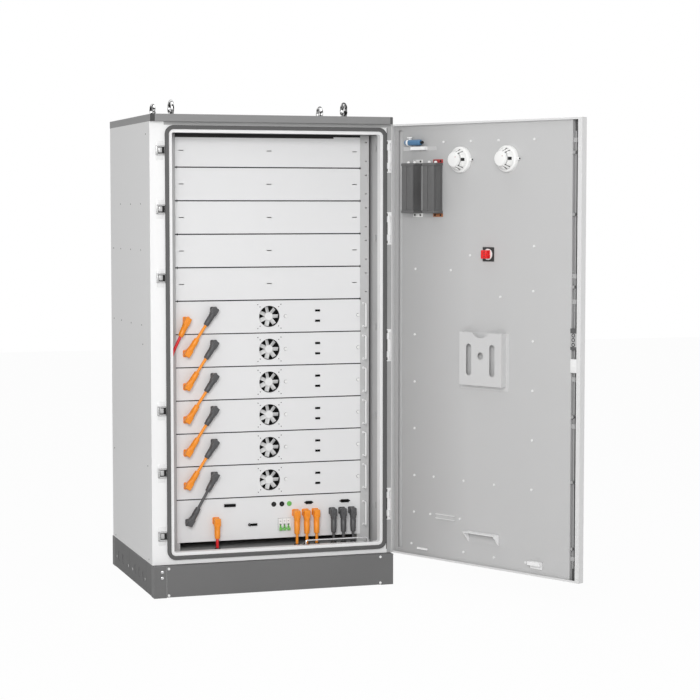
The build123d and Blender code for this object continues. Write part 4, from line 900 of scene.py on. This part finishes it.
# blue capsule with its white strap; strap rows are low and high corners from the capsule's start
capsule = {"from": 0.104, "height": 1.888, "axis": 0.028, "strapEdge": 0.002,
           "case": [(0, 0), (0.008, 0), (0.011, 0.0015), (0.012, 0.005), (0.012, 0.084), (0.0105, 0.087),
                    (0.008, 0.088), (0, 0.088)],
           "tip": [(0, 0.087), (0.006, 0.087), (0.006, 0.098), (0, 0.098)],
           "band": [(0.012, 0.012), (0.0132, 0.012), (0.0132, 0.021), (0.012, 0.021), (0.012, 0.012)],
           "strap": (((0.011, -0.015, 0.0), (0.022, -0.004, 0.010)),
                     ((0.011, 0.011, 0.0), (0.022, 0.024, 0.010))),
           "hook": ((0.005, 0.018, 0.004), (0.030, 0.024, 0.014)), "hookEdge": 0.0018}
lie = onDoor(capsule["from"], capsule["height"], capsule["axis"]) @ Matrix.Rotation(pi / 2, 4, "Y")
base = onDoor(capsule["from"], capsule["height"])
bm = bmesh.new()
turned(bm, capsule["case"], lie, 40)
turned(bm, capsule["tip"], lie, 24, 2)
turned(bm, capsule["band"], lie, 40, 1)
for low, high in capsule["strap"]:
    block(bm, low, high, base, capsule["strapEdge"], 2, 1)
block(bm, *capsule["hook"], base, capsule["hookEdge"], 2, 1)
keepPiece(bm, "capsule_and_strap", ["blue_plastic", "white_plastic", "black_plastic"], "door",
          ["blue_capsule"])

# side rivets, y and z in mm, the same on both sides
wall = 0.525
rivets = {"radius": 0.0032, "rise": 0.0006, "edge": 0.0002, "places": (
    (-327, 1920), (191, 1633), (-20, 1632), (-221, 1633), (350, 1438), (195, 1438), (-13, 1439),
    (-218, 1440), (352, 1124), (188, 1124), (-14, 1124), (-225, 1126), (-246, 1046), (365, 539),
    (-327, 542), (355, 146), (-335, 150))}
bm = bmesh.new()
for y, z in rivets["places"]:
    for side in (-1, 1):
        spot = facing((side * wall, y * mm, z * mm), (side, 0, 0))
        cap(bm, rivets["radius"], rivets["rise"], spot, 0, rivets["edge"], 16)
keepPiece(bm, "side_rivets", ["black_plastic"], "cabinet")

# base screws on the front and, y in mm, on both sides
baseScrew = {"frontX": (-0.462, 0.466), "frontZ": (0.010, 0.122),
             "sideY": (334, 83, -4, -256), "sideZ": 0.052,
             "frontHead": [(0, 0), (0.0058, 0), (0.0058, 0.001), (0.004, 0.0028), (0, 0.0032)],
             "sideHead": [(0, 0), (0.0055, 0), (0.0055, 0.0008), (0.004, 0.0018), (0, 0.002)]}
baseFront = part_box("base_frame")[0].y
bm = bmesh.new()
for x in baseScrew["frontX"]:
    for z in baseScrew["frontZ"]:
        turned(bm, baseScrew["frontHead"], onFront(x, baseFront, z), 20)
for y in baseScrew["sideY"]:
    for side in (-1, 1):
        turned(bm, baseScrew["sideHead"], facing((side * wall, y * mm, baseScrew["sideZ"]), (side, 0, 0)), 20)
keepPiece(bm, "base_screw_heads", ["white_plastic"], "cabinet")

# corner bolts: a washer and a hexagon; rows are radius, rise, bevel, sides
cornerBolt = {"x": -0.490, "heights": (0.110, 0.085),
              "discs": ((0.0062, 0.0015, 0.0003, 24), (0.0045, 0.0030, 0.0005, 6))}
bm = bmesh.new()
for z in cornerBolt["heights"]:
    for radius, rise, edge, sides in cornerBolt["discs"]:
        cap(bm, radius, rise, onFront(cornerBolt["x"], baseFront, z), 0, edge, sides)
keepPiece(bm, "corner_bolts", ["bright_steel"], "cabinet")
print("fasteners done")

# camera
camera = {"place": (-2.3105, -8.4888, 1.6173), "yaw": 18.133, "pitch": 4.061, "lens": 103.12,
          "sensor": 36.0, "far": 100}
made = bpy.data.cameras.new("Camera")
made.lens = camera["lens"]
made.sensor_width = camera["sensor"]
made.clip_end = camera["far"]
viewer = bpy.data.objects.new("Camera", made)
viewer.location = camera["place"]
viewer.rotation_euler = (radians(90 - camera["pitch"]), 0, radians(-camera["yaw"]))
bpy.context.scene.collection.objects.link(viewer)
bpy.context.scene.camera = viewer

# floor: plain and pale, white to the camera but for the object's shadow
ground = {"size": 14.0, "tone": (0.80, 0.80, 0.80), "rough": 0.9, "glow": 1.0, "cameraShare": 0.96,
          "glossShare": 0.6}
bm = bmesh.new()
bmesh.ops.create_grid(bm, x_segments=1, y_segments=1, size=ground["size"])
mesh = bpy.data.meshes.new("floor")
bm.to_mesh(mesh)
bm.free()
floor = bpy.data.objects.new("floor", mesh)
bpy.context.scene.collection.objects.link(floor)
made = bpy.data.materials.new("floor_white")
made.use_nodes = True
Wire.tree = made.node_tree
shader = made.node_tree.nodes["Principled BSDF"]
Wire.plug(shader.inputs["Base Color"], ground["tone"])
Wire.plug(shader.inputs["Roughness"], ground["rough"])
rays = Wire.node("ShaderNodeLightPath")
glow = Wire.node("ShaderNodeEmission", {}, Color=(1, 1, 1), Strength=ground["glow"])
seen = (Wire(rays.outputs["Is Camera Ray"]) * ground["cameraShare"]
        + Wire(rays.outputs["Is Glossy Ray"]) * ground["glossShare"])
blend = Wire.node("ShaderNodeMixShader", {}, i0=seen, i1=Wire(shader.outputs[0]), i2=Wire(glow.outputs[0]))
Wire.plug(made.node_tree.nodes["Material Output"].inputs[0], Wire(blend.outputs[0]))
mesh.materials.append(made)

# world: white where it is seen directly or in gloss, dimmer as light on the object
studioLevel = 0.44
world = bpy.data.worlds.new("studio")
bpy.context.scene.world = world
world.use_nodes = True
Wire.tree = world.node_tree
rays = Wire.node("ShaderNodeLightPath")
direct, glossy, through = [Wire(rays.outputs[name]) for name in
                           ("Is Camera Ray", "Is Glossy Ray", "Is Transmission Ray")]
white = Wire.maths("MAXIMUM", Wire.maths("MAXIMUM", direct, glossy), through)
background = world.node_tree.nodes["Background"]
Wire.plug(background.inputs[0], (1, 1, 1))
Wire.plug(background.inputs[1], studioLevel + white * (1 - studioLevel))

# lamps: place, target, watts, size
lamps = {
    "key": ((-2.3, -6.7, 3.0), (0.0, -0.4, 1.0), 262.0, 2.6),
    "left": ((-5.0, -1.0, 2.6), (-0.5, 0.0, 1.0), 4.0, 2.5),
    "right": ((4.0, -3.5, 2.2), (0.9, -0.8, 1.0), 10.0, 2.0),
    "top": ((0.0, -0.5, 5.0), (0.0, 0.0, 1.0), 40.0, 3.0),
}
for name, (spot, target, power, size) in lamps.items():
    lamp = bpy.data.lights.new(name, "AREA")
    lamp.energy = power
    lamp.size = size
    holder = bpy.data.objects.new(name, lamp)
    holder.location = spot
    holder.rotation_euler = (Vector(target) - Vector(spot)).to_track_quat("-Z", "Y").to_euler()
    bpy.context.scene.collection.objects.link(holder)
bpy.context.scene.view_settings.view_transform = "Standard"
print("stage, light and camera set")
